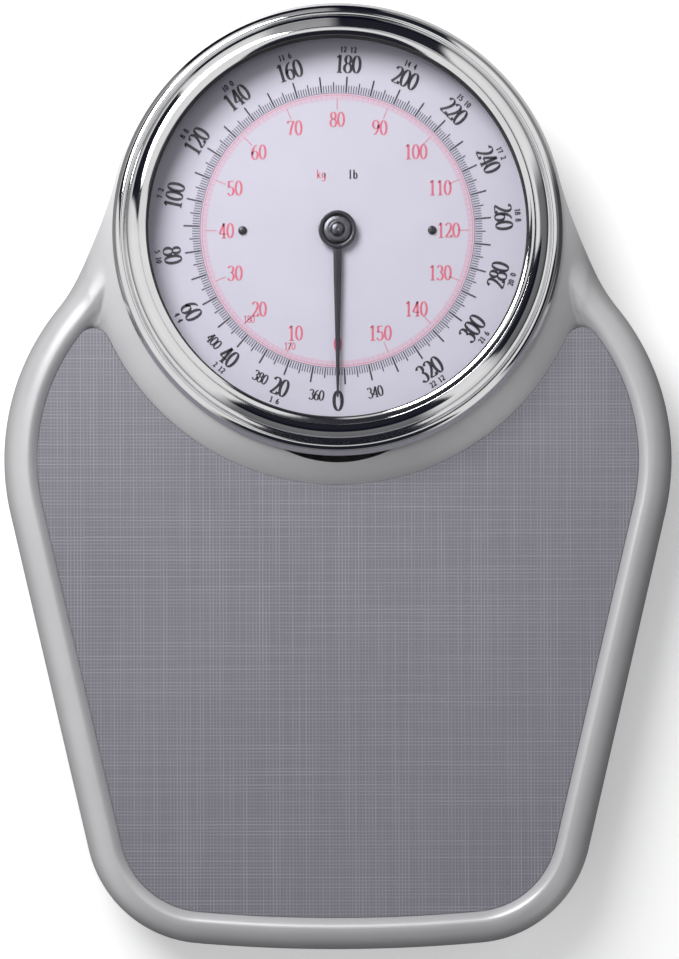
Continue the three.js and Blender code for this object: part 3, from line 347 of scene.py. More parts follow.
def painted(name, light, dark, roughness=0.3, coat=0.4, peel=0.03, metallic=0.0):
    """Stove enamel: faint mottling, orange peel and small changes of gloss."""
    n = Nodes(name)
    n.set(Metallic=metallic, Coat_Weight=coat, Coat_Roughness=0.08)
    n.link(n.ramp(n.noise(40, 4), [(0.3, dark), (0.7, light)]), n.bsdf.inputs["Base Color"])
    n.link(n.span(n.noise(220, 3), roughness - 0.05, roughness + 0.07), n.bsdf.inputs["Roughness"])
    n.link(n.bump(n.noise(330, 1), peel, 0.00006), n.bsdf.inputs["Normal"])
    return n.material


def metal(name, light, dark, roughness, brush=(1, 1, 1), bump=0.05, scale=300):
    """Bare metal with grain drawn out along one direction."""
    n = Nodes(name)
    n.set(Metallic=1.0)
    grain = n.noise(scale, 4, 0.6, n.stretch(brush))
    n.link(n.ramp(grain, [(0.25, dark), (0.75, light)]), n.bsdf.inputs["Base Color"])
    n.link(n.span(grain, roughness * 0.8, roughness * 1.3), n.bsdf.inputs["Roughness"])
    n.link(n.bump(grain, bump, 0.0002), n.bsdf.inputs["Normal"])
    return n.material


def moulded(name, light, dark, roughness, scale=1400, bump=0.2):
    """Rubber or plastic with a fine moulded grain."""
    n = Nodes(name)
    n.link(n.ramp(n.noise(60, 4), [(0.3, dark), (0.7, light)]), n.bsdf.inputs["Base Color"])
    n.link(n.span(n.noise(500, 2), roughness - 0.06, roughness + 0.08), n.bsdf.inputs["Roughness"])
    n.link(n.bump(n.noise(scale, 3), bump, 0.0003), n.bsdf.inputs["Normal"])
    return n.material


def ink(name, colour, worn):
    n = Nodes(name)
    n.set(Roughness=0.5)
    n.link(n.ramp(n.noise(1500, 3), [(0.35, colour), (0.8, worn)]), n.bsdf.inputs["Base Color"])
    n.link(n.bump(n.noise(2500, 2), 0.03, 0.0001), n.bsdf.inputs["Normal"])
    return n.material


def woven_vinyl(name):
    """Fine threads both ways: lighter lines on a grey ground, uneven from thread to thread."""
    n = Nodes(name)
    pitch = 1.5 * MM
    place = n.add("ShaderNodeSeparateXYZ")
    n.link(n.place(), place.inputs[0])
    lines = []
    ways = ((0, (330, 9, 1), (1 / pitch, 25, 1)), (1, (9, 330, 1), (25, 1 / pitch, 1)))
    for axis, slow, strands in ways:
        turns = n.math("MULTIPLY", place.outputs[axis], 2 * math.pi / pitch)
        thread = n.add("ShaderNodeMapRange", interpolation_type="SMOOTHSTEP")
        thread.inputs["From Min"].default_value = -0.2
        thread.inputs["From Max"].default_value = 0.9
        n.link(n.math("SINE", turns), thread.inputs["Value"])
        bunch = n.add("ShaderNodeMapRange", interpolation_type="SMOOTHSTEP")
        bunch.inputs["From Min"].default_value = 0.36
        bunch.inputs["From Max"].default_value = 0.66
        bunch.inputs["To Min"].default_value = 0.5
        n.link(n.noise(1.0, 1, 0.5, n.stretch(slow)), bunch.inputs["Value"])
        uneven = n.span(n.noise(1.0, 1, 0.5, n.stretch(strands)), 0.45, 1.15)
        strength = n.math("MULTIPLY", uneven, bunch.outputs["Result"])
        lines.append(n.math("MULTIPLY", thread.outputs["Result"], strength))
    both = n.math("MAXIMUM", *lines)
    grain = n.noise(2600, 2)
    blotch = n.ramp(n.noise(9, 3), [(0.3, (0.150, 0.146, 0.174)), (0.7, (0.174, 0.169, 0.200))])
    light = n.blend(n.span(grain, 0.0, 0.6), (0.30, 0.292, 0.335), (0.35, 0.342, 0.385))
    n.link(n.blend(n.math("MULTIPLY", both, 0.8), blotch, light), n.bsdf.inputs["Base Color"])
    n.link(n.span(grain, 0.5, 0.68), n.bsdf.inputs["Roughness"])
    rough = n.bump(grain, 0.1, 0.0002)
    n.link(n.bump(both, 0.3, 0.0003, rough), n.bsdf.inputs["Normal"])
    return n.material


def bright_plate(name):
    """Polished chrome with faint polishing haze."""
    n = Nodes(name)
    n.set(Metallic=1.0)
    tone = n.ramp(n.noise(35, 3), [(0.3, (0.80, 0.80, 0.81)), (0.7, (0.88, 0.88, 0.89))])
    n.link(tone, n.bsdf.inputs["Base Color"])
    n.link(n.span(n.noise(90, 4), 0.03, 0.085), n.bsdf.inputs["Roughness"])
    n.link(n.bump(n.noise(260, 2), 0.012, 0.0003), n.bsdf.inputs["Normal"])
    return n.material


def clear_pane(name):
    n = Nodes(name)
    n.set(Base_Color=(1, 1, 1, 1), Roughness=0.02, IOR=1.45, Alpha=0.06, Transmission_Weight=1.0)
    n.link(n.bump(n.noise(12, 2), 0.01, 0.0005), n.bsdf.inputs["Normal"])
    return n.material


SILVER = painted("silver_enamel", (0.56, 0.557, 0.568), (0.53, 0.527, 0.538), 0.38, 0.3, 0.15, 0.3)
GREY = painted("grey_enamel", (0.40, 0.40, 0.41), (0.34, 0.34, 0.35), 0.42, 0.1, 0.06)
VINYL = woven_vinyl("woven_vinyl")
CHROME = bright_plate("chrome_plate")
PANE = clear_pane("clear_pane")
FACE = painted("dial_face", (0.575, 0.56, 0.655), (0.555, 0.54, 0.635), 0.55, 0.0, 0.01)
BLACK_INK = ink("black_print", (0.012, 0.011, 0.02), (0.03, 0.028, 0.045))
GREY_INK = ink("grey_print", (0.085, 0.08, 0.13), (0.13, 0.12, 0.19))
RED_INK = ink("red_print", (0.62, 0.10, 0.17), (0.72, 0.22, 0.30))
ROSE_INK = ink("rose_print", (0.52, 0.30, 0.42), (0.55, 0.36, 0.48))
PINK_INK = ink("pink_print", (0.60, 0.45, 0.56), (0.60, 0.48, 0.59))
BLACK = painted("black_enamel_look", (0.022, 0.021, 0.03), (0.012, 0.012, 0.018), 0.3, 0.3, 0.05)
RUBBER = moulded("rubber_look", (0.028, 0.028, 0.029), (0.016, 0.016, 0.017), 0.75)
PLASTIC = moulded("black_moulding", (0.022, 0.022, 0.024), (0.012, 0.012, 0.013), 0.45, 1800, 0.12)
ZINC = metal("zinc_plate", (0.62, 0.62, 0.6), (0.45, 0.45, 0.44), 0.32, (1, 14, 1), 0.06)
STEEL = metal("oiled_steel", (0.5, 0.5, 0.52), (0.33, 0.33, 0.35), 0.25, (14, 1, 1), 0.05)
HUB = metal("burnished_hub", (0.17, 0.17, 0.19), (0.09, 0.09, 0.105), 0.3, (1, 1, 1), 0.05, 500)
BRASS = metal("dull_brass", (0.78, 0.58, 0.25), (0.6, 0.42, 0.17), 0.28, (1, 1, 10), 0.05)

SLOT_LOOKS = {
    "silver_paint": SILVER,
    "grey_vinyl": VINYL,
    "chrome": CHROME,
    "glass": PANE,
    "dial_white": FACE,
    "black_enamel": BLACK,
    "black_plastic": PLASTIC,
    "rubber": RUBBER,
    "zinc_steel": ZINC,
    "spring_steel": STEEL,
    "brass": BRASS,
    "grey_paint": GREY,
}

# ---------------------------------------------------------------- carried-over CAD nodes

for part in frame["record"]["subparts"]:
    node = frame["nodes"][part["node"]]
    node.data.materials.clear()
    node.data.materials.append(SLOT_LOOKS[part["material_slot"]])
    if "custom_normal" in node.data.attributes:
        node.data.attributes.remove(node.data.attributes["custom_normal"])
    node.data.polygons.foreach_set("use_smooth", [True] * len(node.data.polygons))
    weld = node.modifiers.new("weld", "WELD")
    weld.merge_threshold = 1e-6
    if part["node"] in ("lens", "dial_plate"):
        node.data.polygons.foreach_set("use_smooth", [False] * len(node.data.polygons))
        continue
    bevel = node.modifiers.new("bevel", "BEVEL")
    bevel.width = 0.00018
    bevel.segments = 2
    bevel.limit_method = "ANGLE"
    bevel.angle_limit = math.radians(40)
    split = node.modifiers.new("split", "EDGE_SPLIT")
    split.split_angle = math.radians(38)

# ---------------------------------------------------------------- shell


def rim_height(inset):
    """A long quarter ellipse up from the skirt, then a short curve down to the mat."""
    u = (inset - RIM_SLOPE) / np.where(inset > RIM_SLOPE, RIM_WIDTH - RIM_SLOPE, RIM_SLOPE)
    rising = RIM_EDGE + (RIM_CREST - RIM_EDGE) * np.sqrt(np.clip(1 - u**2, 0, None))
    falling = RIM_CREST - (RIM_CREST - MAT_TOP + 0.4) * u**2
    return np.where(u > 0, falling, rising)


def collar_height(radius):
    """The band that falls from the dial to the mat, steeper as it goes."""
    top, foot = SHELL_TOP - 0.3, MAT_TOP - 0.4
    u = (radius - HEAD_R - 0.3) / (COLLAR_BAND - 0.3)
    inside = np.minimum(u, 1)
    fall = 0.6 * inside + 0.4 * np.clip(inside, 0, 1) ** 2.5 + 1.6 * (u - inside)
    return top - (top - foot) * fall


def flat_points(loop):
    return np.array([(p.x, p.y) for p in loop])


EDGE = flat_points(outline(0, 0.8))  # the outline, for measuring insets


def within(points, loop):
    """Which points are inside a closed loop."""
    a, b = loop, np.roll(loop, -1, axis=0)
    rise = np.where(b[:, 1] == a[:, 1], 1e-12, b[:, 1] - a[:, 1])
    found = np.zeros(len(points), bool)
    for i in range(0, len(points), 2000):
        p = points[i : i + 2000, None, :]
        straddles = (a[:, 1] > p[..., 1]) != (b[:, 1] > p[..., 1])
        at = a[:, 0] + (p[..., 1] - a[:, 1]) * (b[:, 0] - a[:, 0]) / rise
        found[i : i + 2000] = (straddles & (p[..., 0] < at)).sum(1) % 2 == 1
    return found


def inset_of(points):
    """Distance in from the outline, by the nearest stretch of it."""
    a, b = EDGE, np.roll(EDGE, -1, axis=0)
    out = np.empty(len(points))
    for i in range(0, len(points), 2000):
        p = points[i : i + 2000, None, :]
        t = np.clip(((p - a) * (b - a)).sum(-1) / ((b - a) ** 2).sum(-1), 0, 1)
        out[i : i + 2000] = np.sqrt((((a + (b - a) * t[..., None]) - p) ** 2).sum(-1)).min(1)
    return out


def shell_height(points):
    """The rim and the collar, run together where they meet."""
    rim = rim_height(inset_of(points))
    collar = collar_height(np.hypot(points[:, 0], points[:, 1] - HEAD_Y))
    out = np.hypot(points[:, 0], points[:, 1] - HEAD_Y) - HEAD_R
    size = RUN_TOGETHER * np.clip((out - 1) / COLLAR_BAND, 0.02, 1)
    near = np.clip(size - np.abs(rim - collar), 0, None) / size
    return np.maximum(rim, collar) + near**3 * size / 6


def head_bore():
    """The collar's opening, with its shallow notch at the front."""
    centre = head - Vector((0, NOTCH_REACH - NOTCH_R))
    points = []
    for p in arc(head, HEAD_R - COLLAR_WALL, -math.pi / 2, 1.5 * math.pi, 1.4)[:-1]:
        way = (p - head).normalized()
        along = way.dot(centre - head)
        inside = along**2 - (centre - head).length_squared + NOTCH_R**2
        reach = along + math.sqrt(inside) if inside > 0 and along > 0 else 0
        points.append(head + way * max(HEAD_R - COLLAR_WALL, reach))
    return points


def shell_top():
    """Points and triangles of the shell's upper side, seen from above, inside the steep edge."""
    ledge = RIM_WIDTH - RIM_SLOPE
    insets = [RIM_SLOPE * (1 - math.cos(math.radians(a))) for a in range(32, 90, 8)]
    insets += [RIM_SLOPE + ledge * f for f in (0, 0.2, 0.4, 0.6, 0.75, 0.88)]
    rows = [outline(inset, STEP) for inset in insets]
    rings = [HEAD_R - 0.9, *np.linspace(HEAD_R + 0.1, HEAD_R + COLLAR_BAND - 0.6, 13)]
    circles = [arc(head, r, 0, 2 * math.pi, STEP)[:-1] for r in rings]
    loops = [outline(BRIM[-1], STEP), mat_outline(0, MAT_STEP), head_bore()]
    verts, edges = [], []
    for loop in loops:
        first = len(verts)
        verts.extend(loop)
        edges.extend((first + i, first + (i + 1) % len(loop)) for i in range(len(loop)))
    around, hole, opening = (flat_points(loop) for loop in loops)

    def is_free(points):
        free = within(points, around) & ~within(points, hole) & ~within(points, opening)
        for loop in (around, hole, opening):
            free &= clearance(points, loop) > 0.4
        return free

    rim = flat_points(p for row in rows for p in row)
    rim = rim[is_free(rim)]
    rings = flat_points(p for ring in circles for p in ring)
    rings = rings[is_free(rings)]
    rings = rings[inset_of(rings) > RIM_SLOPE * 0.5]
    rings = rings[clearance(rings, rim) > 0.55]
    verts.extend(Vector(p) for p in (*rim, *rings))
    found, _, faces, *_ = delaunay_2d_cdt(verts, edges, [], 0, 1e-6)
    flat = np.array([(v.x, v.y) for v in found])
    middles = np.array([flat[list(f)].mean(0) for f in faces])
    kept = within(middles, around) & ~within(middles, hole) & ~within(middles, opening)
    return flat, [f for f, good in zip(faces, kept) if good]


def clearance(points, others):
    """Distance from each point to the nearest of the others."""
    out = np.empty(len(points))
    for i in range(0, len(points), 1000):
        p = points[i : i + 1000, None, :]
        out[i : i + 1000] = np.sqrt(((p - others[None]) ** 2).sum(-1)).min(1)
    return out


def anticlockwise(loop):
    """The same closed loop, running anticlockwise seen from above."""
    turn = sum(a.x * b.y - a.y * b.x for a, b in zip(loop, loop[1:] + loop[:1]))
    return loop if turn > 0 else loop[::-1]


def outward(loop):
    """Unit vectors away from the inside of an anticlockwise loop, one for each point."""
    flow = [loop[(i + 1) % len(loop)] - loop[i - 1] for i in range(len(loop))]
    return [Vector((f.y, -f.x)).normalized() for f in flow]


def make_shell():
    """The pressed shell's skin, with worked-out normals, so that its curves shade evenly."""
    flat, faces = shell_top()
    brim = [flat_points(outline(inset, STEP)) for inset in BRIM]
    inner = len(flat)
    count = len(brim[0])
    for k in range(len(brim) - 1):
        for i in range(count):
            j = (i + 1) % count
            faces.append([inner + k * count + i, inner + k * count + j, inner + (k + 1) * count + j])
            faces.append([inner + k * count + i, inner + (k + 1) * count + j, inner + (k + 1) * count + i])
    flat = np.concatenate([flat, *brim])
    height = shell_height(flat)
    nudge = 0.02
    slope = []
    for axis in (0, 1):
        shift = np.zeros(2)
        shift[axis] = nudge
        slope.append((shell_height(flat + shift) - shell_height(flat - shift)) / (2 * nudge))
    normals = np.stack([-slope[0], -slope[1], np.ones(len(flat))], 1)
    normals /= np.linalg.norm(normals, axis=1)[:, None]
    normals[inner : inner + count] = normals[inner + count : inner + 2 * count]
    verts = [(x, y, z) for (x, y), z in zip(flat, height)]
    # a face's corners run anticlockwise seen from above
    corners = flat[np.array(faces)]
    a, b = corners[:, 1] - corners[:, 0], corners[:, 2] - corners[:, 0]
    upward = a[:, 0] * b[:, 1] - a[:, 1] * b[:, 0] > 0
    faces = [tuple(f) if up else tuple(reversed(f)) for f, up in zip(faces, upward)]
    normals = [tuple(v) for v in normals]

    def skirt(layers):
        """Rows of (inset, z) round the outside; a z of None is the shell's own edge."""
        loops = [anticlockwise(outline(inset, STEP)) for inset, _ in layers]
        count = len(loops[0])
        first = len(verts)
        around = loops[0]
        brim = shell_height(flat_points(around))
        for (_, z), loop in zip(layers, loops):
            for p, top in zip(loop, brim):
                verts.append((p.x, p.y, top if z is None else z))
        out = outward(around)
        for k in range(len(layers)):
            before, after = layers[max(0, k - 1)], layers[min(len(layers) - 1, k + 1)]
            dz, di = after[1] - (before[1] or RIM_EDGE), after[0] - before[0]
            length = math.hypot(dz, di)
            side, up = -dz / length, -di / length
            for o in out:
                normals.append((o.x * side, o.y * side, up))
        for k in range(len(layers) - 1):
            for i in range(count):
                j = (i + 1) % count
                upper, lower = first + k * count, first + (k + 1) * count
                faces.append((upper + i, lower + i, lower + j, upper + j))

    same = [(0.0, z) for z in (None, 22, 19, SKIRT_BOTTOM + 0.8)]
    curl = [(0.08, SKIRT_BOTTOM + 0.35), (0.35, SKIRT_BOTTOM + 0.08), (SHEET / 2, SKIRT_BOTTOM)]
    rise = [(SHEET - 0.35, SKIRT_BOTTOM + 0.08), (SHEET - 0.08, SKIRT_BOTTOM + 0.35)]
    rise += [(SHEET, SKIRT_BOTTOM + 0.8), (SHEET, RIM_EDGE - 1)]
    skirt(same + curl + rise)

    def wall(loop, bottom):
        """The side of an opening, from the shell's top down to a level."""
        first = len(verts)
        count = len(loop)
        top = shell_height(flat_points(loop))
        verts.extend((p.x, p.y, z) for p, z in zip(loop, top))
        verts.extend((p.x, p.y, bottom) for p in loop)
        normals.extend(2 * [(-n.x, -n.y, 0) for n in outward(loop)])
        for i in range(count):
            j = (i + 1) % count
            faces.append((first + j, first + count + j, first + count + i, first + i))

    wall(anticlockwise(head_bore()), SHELL_TOP - 9)
    wall(anticlockwise(mat_outline(0, MAT_STEP)), MAT_TOP - 2.5)
    obj = new_object("shell_skin", verts, faces, "platform", SILVER)
    obj.data.normals_split_custom_set_from_vertices(normals)
    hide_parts("platform_shell")
    return obj


# ---------------------------------------------------------------- mat


def make_mat():
    """The mat's top and its rounded edge, as rows of (inset, z)."""
    layers = [(0.06, MAT_TOP - 1.8), (0.06, MAT_TOP - 0.5), (0.12, MAT_TOP - 0.28), (0.28, MAT_TOP - 0.12)]
    layers += [(0.5, MAT_TOP - 0.03), (0.8, MAT_TOP)]
    base = flat_points(mat_outline(layers[0][0], MAT_STEP))
    flow = np.roll(base, -1, axis=0) - np.roll(base, 1, axis=0)
    out = np.stack([-flow[:, 1], flow[:, 0]], 1)
    out /= np.linalg.norm(out, axis=1)[:, None]
    loops = [[Vector(p) for p in base - out * (inset - layers[0][0])] for inset, _ in layers]
    count = len(loops[0])
    verts = [(p.x, p.y, z) for loop, (_, z) in zip(loops, layers) for p in loop]
    faces = []
    for k in range(len(layers) - 1):
        for i in range(count):
            j = (i + 1) % count
            faces.append((k * count + i, (k + 1) * count + i, (k + 1) * count + j, k * count + j))
    faces.append(tuple(reversed(range((len(layers) - 1) * count, len(layers) * count))))
    obj = new_object("woven_mat", verts, faces, "platform", VINYL)
    fix_normals(obj)
    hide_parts("platform_mat")
    return obj


def fix_normals(obj):
    """Turns all faces of a closed mesh outward."""
    bm = bmesh.new()
    bm.from_mesh(obj.data)
    bmesh.ops.recalc_face_normals(bm, faces=bm.faces)
    bm.to_mesh(obj.data)
    bm.free()


# ---------------------------------------------------------------- bezel


def slope_run(start, end_radius, tilt0, tilt1, count=10):
    """Profile outward from a (radius, z) start; its tilt goes evenly from tilt0 to tilt1 degrees."""
    radius, z = start
    stride = (end_radius - radius) / count
    sines = [math.sin(math.radians(t)) for t in (tilt0, tilt1)]
    out = [start]
    for i in range(count):
        tilt = math.asin(sines[0] + (sines[1] - sines[0]) * (i + 0.5) / count)
        radius += stride
        z -= math.tan(tilt) * stride
        out.append((radius, z))
    return out


def make_bezel():
    window = WINDOW_R - 0.9
    crest = BEZEL_TOP - 0.4
    lip = slope_run((window, 0), window + 2.9, -20, -3)
    rise = crest - max(z for _, z in lip)
    lip = [(r, z + rise) for r, z in lip]
    band = slope_run((window + 3.4, crest - 0.05), BEZEL_R - 8.7, 11, 52, 14)
    flange = BEZEL_LOW + 5.0
    ring = slope_run((BEZEL_R - 6.1, flange), BEZEL_R - 2.3, -14, 66, 14)
    outside = [
        (window, LENS_TOP + 0.3),
        *lip,
        (window + 3.12, crest - 0.4),
        *band,
        (BEZEL_R - 8.5, crest - 5.5),
        (BEZEL_R - 8.2, flange - 1.3),
        (BEZEL_R - 7.2, flange - 1.4),
        *ring,
        (BEZEL_R - 2.2, BEZEL_LOW + 1.6),
        (BEZEL_R - 1.0, BEZEL_LOW + 0.2),
        (BEZEL_R - 1.0, BEZEL_LOW),
    ]
    inside = [
        (BEZEL_R - 2.8, BEZEL_LOW),
        (BEZEL_R - 2.8, flange - 2.4),
        (BEZEL_R - 8.9, flange - 2.4),
        (BEZEL_R - 9.6, BEZEL_LOW + 2),
        (BEZEL_R - 10.6, BEZEL_LOW + 2),
        (BEZEL_R - 10.6, LENS_TOP + 0.3),
    ]
    verts, faces = lathe(outside + inside, head, 320)
    obj = new_object("bezel_ring", verts, faces, "base", CHROME)
    fix_normals(obj)
    split = obj.modifiers.new("split", "EDGE_SPLIT")
    split.split_angle = math.radians(24)
    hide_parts("bezel")
    seat = lip[0][1]
    gasket = [(window - 0.7, LENS_TOP + 0.02), (window - 0.6, seat - 0.25), (window - 0.35, seat - 0.05)]
    gasket += [(window + 0.15, seat - 0.1), (window + 0.15, LENS_TOP + 0.02)]
    verts, faces = lathe(gasket, head, 240)
    obj = new_object("lens_gasket", verts, faces, "base", RUBBER)
    fix_normals(obj)


# ---------------------------------------------------------------- springs


def spring_part(node, name, level=None, upper=True):
    """A spring's mesh, or its part above or below a level in millimetres, closed at the cut."""
    shape = bmesh.new()
    source = frame["nodes"][node]
    shape.from_mesh(source.data)
    shape.transform(source.matrix_world)
    bmesh.ops.remove_doubles(shape, verts=shape.verts, dist=1e-6)
    if level:
        bmesh.ops.bisect_plane(
            shape,
            geom=[*shape.verts, *shape.edges, *shape.faces],
            plane_co=(0, 0, level * MM),
            plane_no=(0, 0, 1),
            clear_inner=upper,
            clear_outer=not upper,
        )
        bmesh.ops.holes_fill(shape, edges=[e for e in shape.edges if e.is_boundary])
    mesh = bpy.data.meshes.new(name)
    shape.to_mesh(mesh)
    shape.free()
    mesh.polygons.foreach_set("use_smooth", [True] * len(mesh.polygons))
    mesh.materials.append(STEEL)
    obj = bpy.data.objects.new(name, mesh)
    scene.collection.objects.link(obj)
    return obj


def make_springs():
    """Each main spring hangs from the anchor arm and reaches to the nose plate; its hook rides the anchor,
    its coil stays where it is.
    """
    arm_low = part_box("anchor_arm")[0].z / MM - 0.6
    for side in ("right", "left"):
        node = f"main_spring_{side}"
        hook = spring_part(node, f"spring_hook_{side}", arm_low, True)
        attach(hook, "anchor")
        coil = spring_part(node, f"spring_coil_{side}", arm_low, False)
        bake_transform(coil)
        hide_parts(node)
        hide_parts(node)
    coil = spring_part("return_spring", "return_coil")
    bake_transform(coil)
    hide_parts("return_spring")


# ---------------------------------------------------------------- figures


def arc_path(cx, cy, rx, ry, start, end, count=18):
    """A pen path along an ellipse, between two angles in degrees."""
    angles = [math.radians(start + (end - start) * i / count) for i in range(count + 1)]
    return [(cx + rx * math.cos(t), cy + ry * math.sin(t)) for t in angles]


def curve_path(a, b, c, count=10):
    """A pen path from a to c, drawn towards b."""
    return [
        tuple(a[k] * (1 - t) ** 2 + 2 * b[k] * t * (1 - t) + c[k] * t**2 for k in (0, 1))
        for t in (i / count for i in range(count + 1))
    ]


# Each sign is a list of pen paths in a box one high and half as wide.
SIGNS = {
    "0": [arc_path(0.25, 0.5, 0.19, 0.46, 0, 360, 30)],
    "1": [
        [(0.27, 0.03), (0.27, 0.97)],
        [(0.10, 0.82), (0.19, 0.88), (0.27, 0.97)],
        [(0.12, 0.02), (0.42, 0.02)],
    ],
    "2": [
        arc_path(0.25, 0.74, 0.17, 0.22, 165, -15),
        curve_path((0.414, 0.68), (0.36, 0.42), (0.07, 0.06)),
        [(0.07, 0.06), (0.25, 0.05), (0.43, 0.05)],
        [(0.43, 0.03), (0.45, 0.2)],
    ],
    "3": [arc_path(0.23, 0.75, 0.16, 0.21, 160, -90), arc_path(0.23, 0.28, 0.19, 0.26, 90, -155)],
    "4": [
        [(0.34, 0.97), (0.05, 0.29)],
        [(0.05, 0.28), (0.48, 0.28)],
        [(0.34, 0.97), (0.34, 0.03)],
        [(0.21, 0.02), (0.47, 0.02)],
    ],
    "5": [
        [(0.12, 0.94), (0.42, 0.94)],
        [(0.12, 0.94), (0.11, 0.52)],
        arc_path(0.23, 0.3, 0.19, 0.28, 125, -155),
    ],
    "6": [arc_path(0.25, 0.29, 0.18, 0.27, 0, 360, 24), arc_path(0.42, 0.34, 0.35, 0.6, 95, 180)],
    "7": [
        [(0.06, 0.93), (0.44, 0.93)],
        curve_path((0.44, 0.93), (0.24, 0.5), (0.21, 0.03)),
        [(0.06, 0.93), (0.06, 0.78)],
    ],
    "8": [arc_path(0.25, 0.74, 0.15, 0.22, 0, 360, 24), arc_path(0.25, 0.27, 0.19, 0.25, 0, 360, 24)],
    "9": [arc_path(0.25, 0.71, 0.18, 0.27, 0, 360, 24), arc_path(0.08, 0.66, 0.35, 0.6, -85, 0)],
    "k": [[(0.1, 0.02), (0.1, 0.97)], [(0.1, 0.3), (0.4, 0.62)], [(0.18, 0.38), (0.42, 0.02)]],
    "g": [
        arc_path(0.22, 0.38, 0.15, 0.24, 0, 360, 24),
        [(0.37, 0.62), (0.37, 0.0)],
        arc_path(0.2, 0.0, 0.17, 0.24, 0, -150),
    ],
    "l": [[(0.2, 0.02), (0.2, 0.97)], [(0.1, 0.02), (0.3, 0.02)]],
    "b": [[(0.1, 0.97), (0.1, 0.02)], arc_path(0.25, 0.32, 0.16, 0.3, 0, 360, 24)],
    " ": [],
}


class Print:
    """Flat printed marks on the dial, gathered into one mesh."""

    def __init__(self, lift):
        self.verts, self.faces, self.z = [], [], DIAL_TOP + lift

    def ribbon(self, points, widths):
        count = len(points)
        first = len(self.verts)
        for i, p in enumerate(points):
            along = points[min(i + 1, count - 1)] - points[max(i - 1, 0)]
            side = Vector((-along.y, along.x)).normalized() * widths[i] / 2
            self.verts += [(*(p + side), self.z), (*(p - side), self.z)]
        for i in range(count - 1):
            a = first + 2 * i
            self.faces.append((a, a + 1, a + 3, a + 2))

    def ring(self, inner, outer, segments=240):
        first = len(self.verts)
        for i in range(segments):
            t = 2 * math.pi * i / segments
            way = Vector((math.cos(t), math.sin(t)))
            for radius in (inner, outer):
                self.verts.append((*(head + way * radius * PRINT_SCALE), self.z))
        for i in range(segments):
            a, b = first + 2 * i, first + 2 * ((i + 1) % segments)
            self.faces.append((a, a + 1, b + 1, b))

    def tick(self, angle, inner, outer, width):
        way = spoke(angle) * PRINT_SCALE
        self.ribbon([head + way * inner, head + way * outer], [width, width])

    def text(self, text, middle, up, height, thick, thin, advance=0.5):
        middle = head + (middle - head) * PRINT_SCALE
        right = Vector((up.y, -up.x))
        start = -advance * len(text) / 2
        for i, sign in enumerate(text):
            corner_at = middle + right * (start + advance * i) * height - up * height / 2
            for path in SIGNS[sign]:
                points = [corner_at + right * x * height + up * y * height for x, y in path]
                widths = []
                for k in range(len(path)):
                    a, b = path[max(0, k - 1)], path[min(len(path) - 1, k + 1)]
                    rise = abs(b[1] - a[1]) / (math.hypot(b[0] - a[0], b[1] - a[1]) or 1)
                    widths.append(height * (thin + (thick - thin) * rise**2))
                self.ribbon(points, widths)

    def finish(self, name, material, slot):
        obj = new_object(name, self.verts, self.faces, "base", material, smooth=False)
        bm = bmesh.new()
        bm.from_mesh(obj.data)
        for face in bm.faces:
            if face.normal.z < 0:
                face.normal_flip()
        bm.to_mesh(obj.data)
        bm.free()
        return obj


def spoke(angle):
    """Unit vector at an angle turned clockwise from the front, seen from above."""
    return Vector((-math.sin(angle), -math.cos(angle)))


KG_TURN = 160
LB_TURN = KG_TURN / 0.45359237
LB_CAPACITY = 400
PRINT_SCALE = 1.01  # from the sizes below to the plate


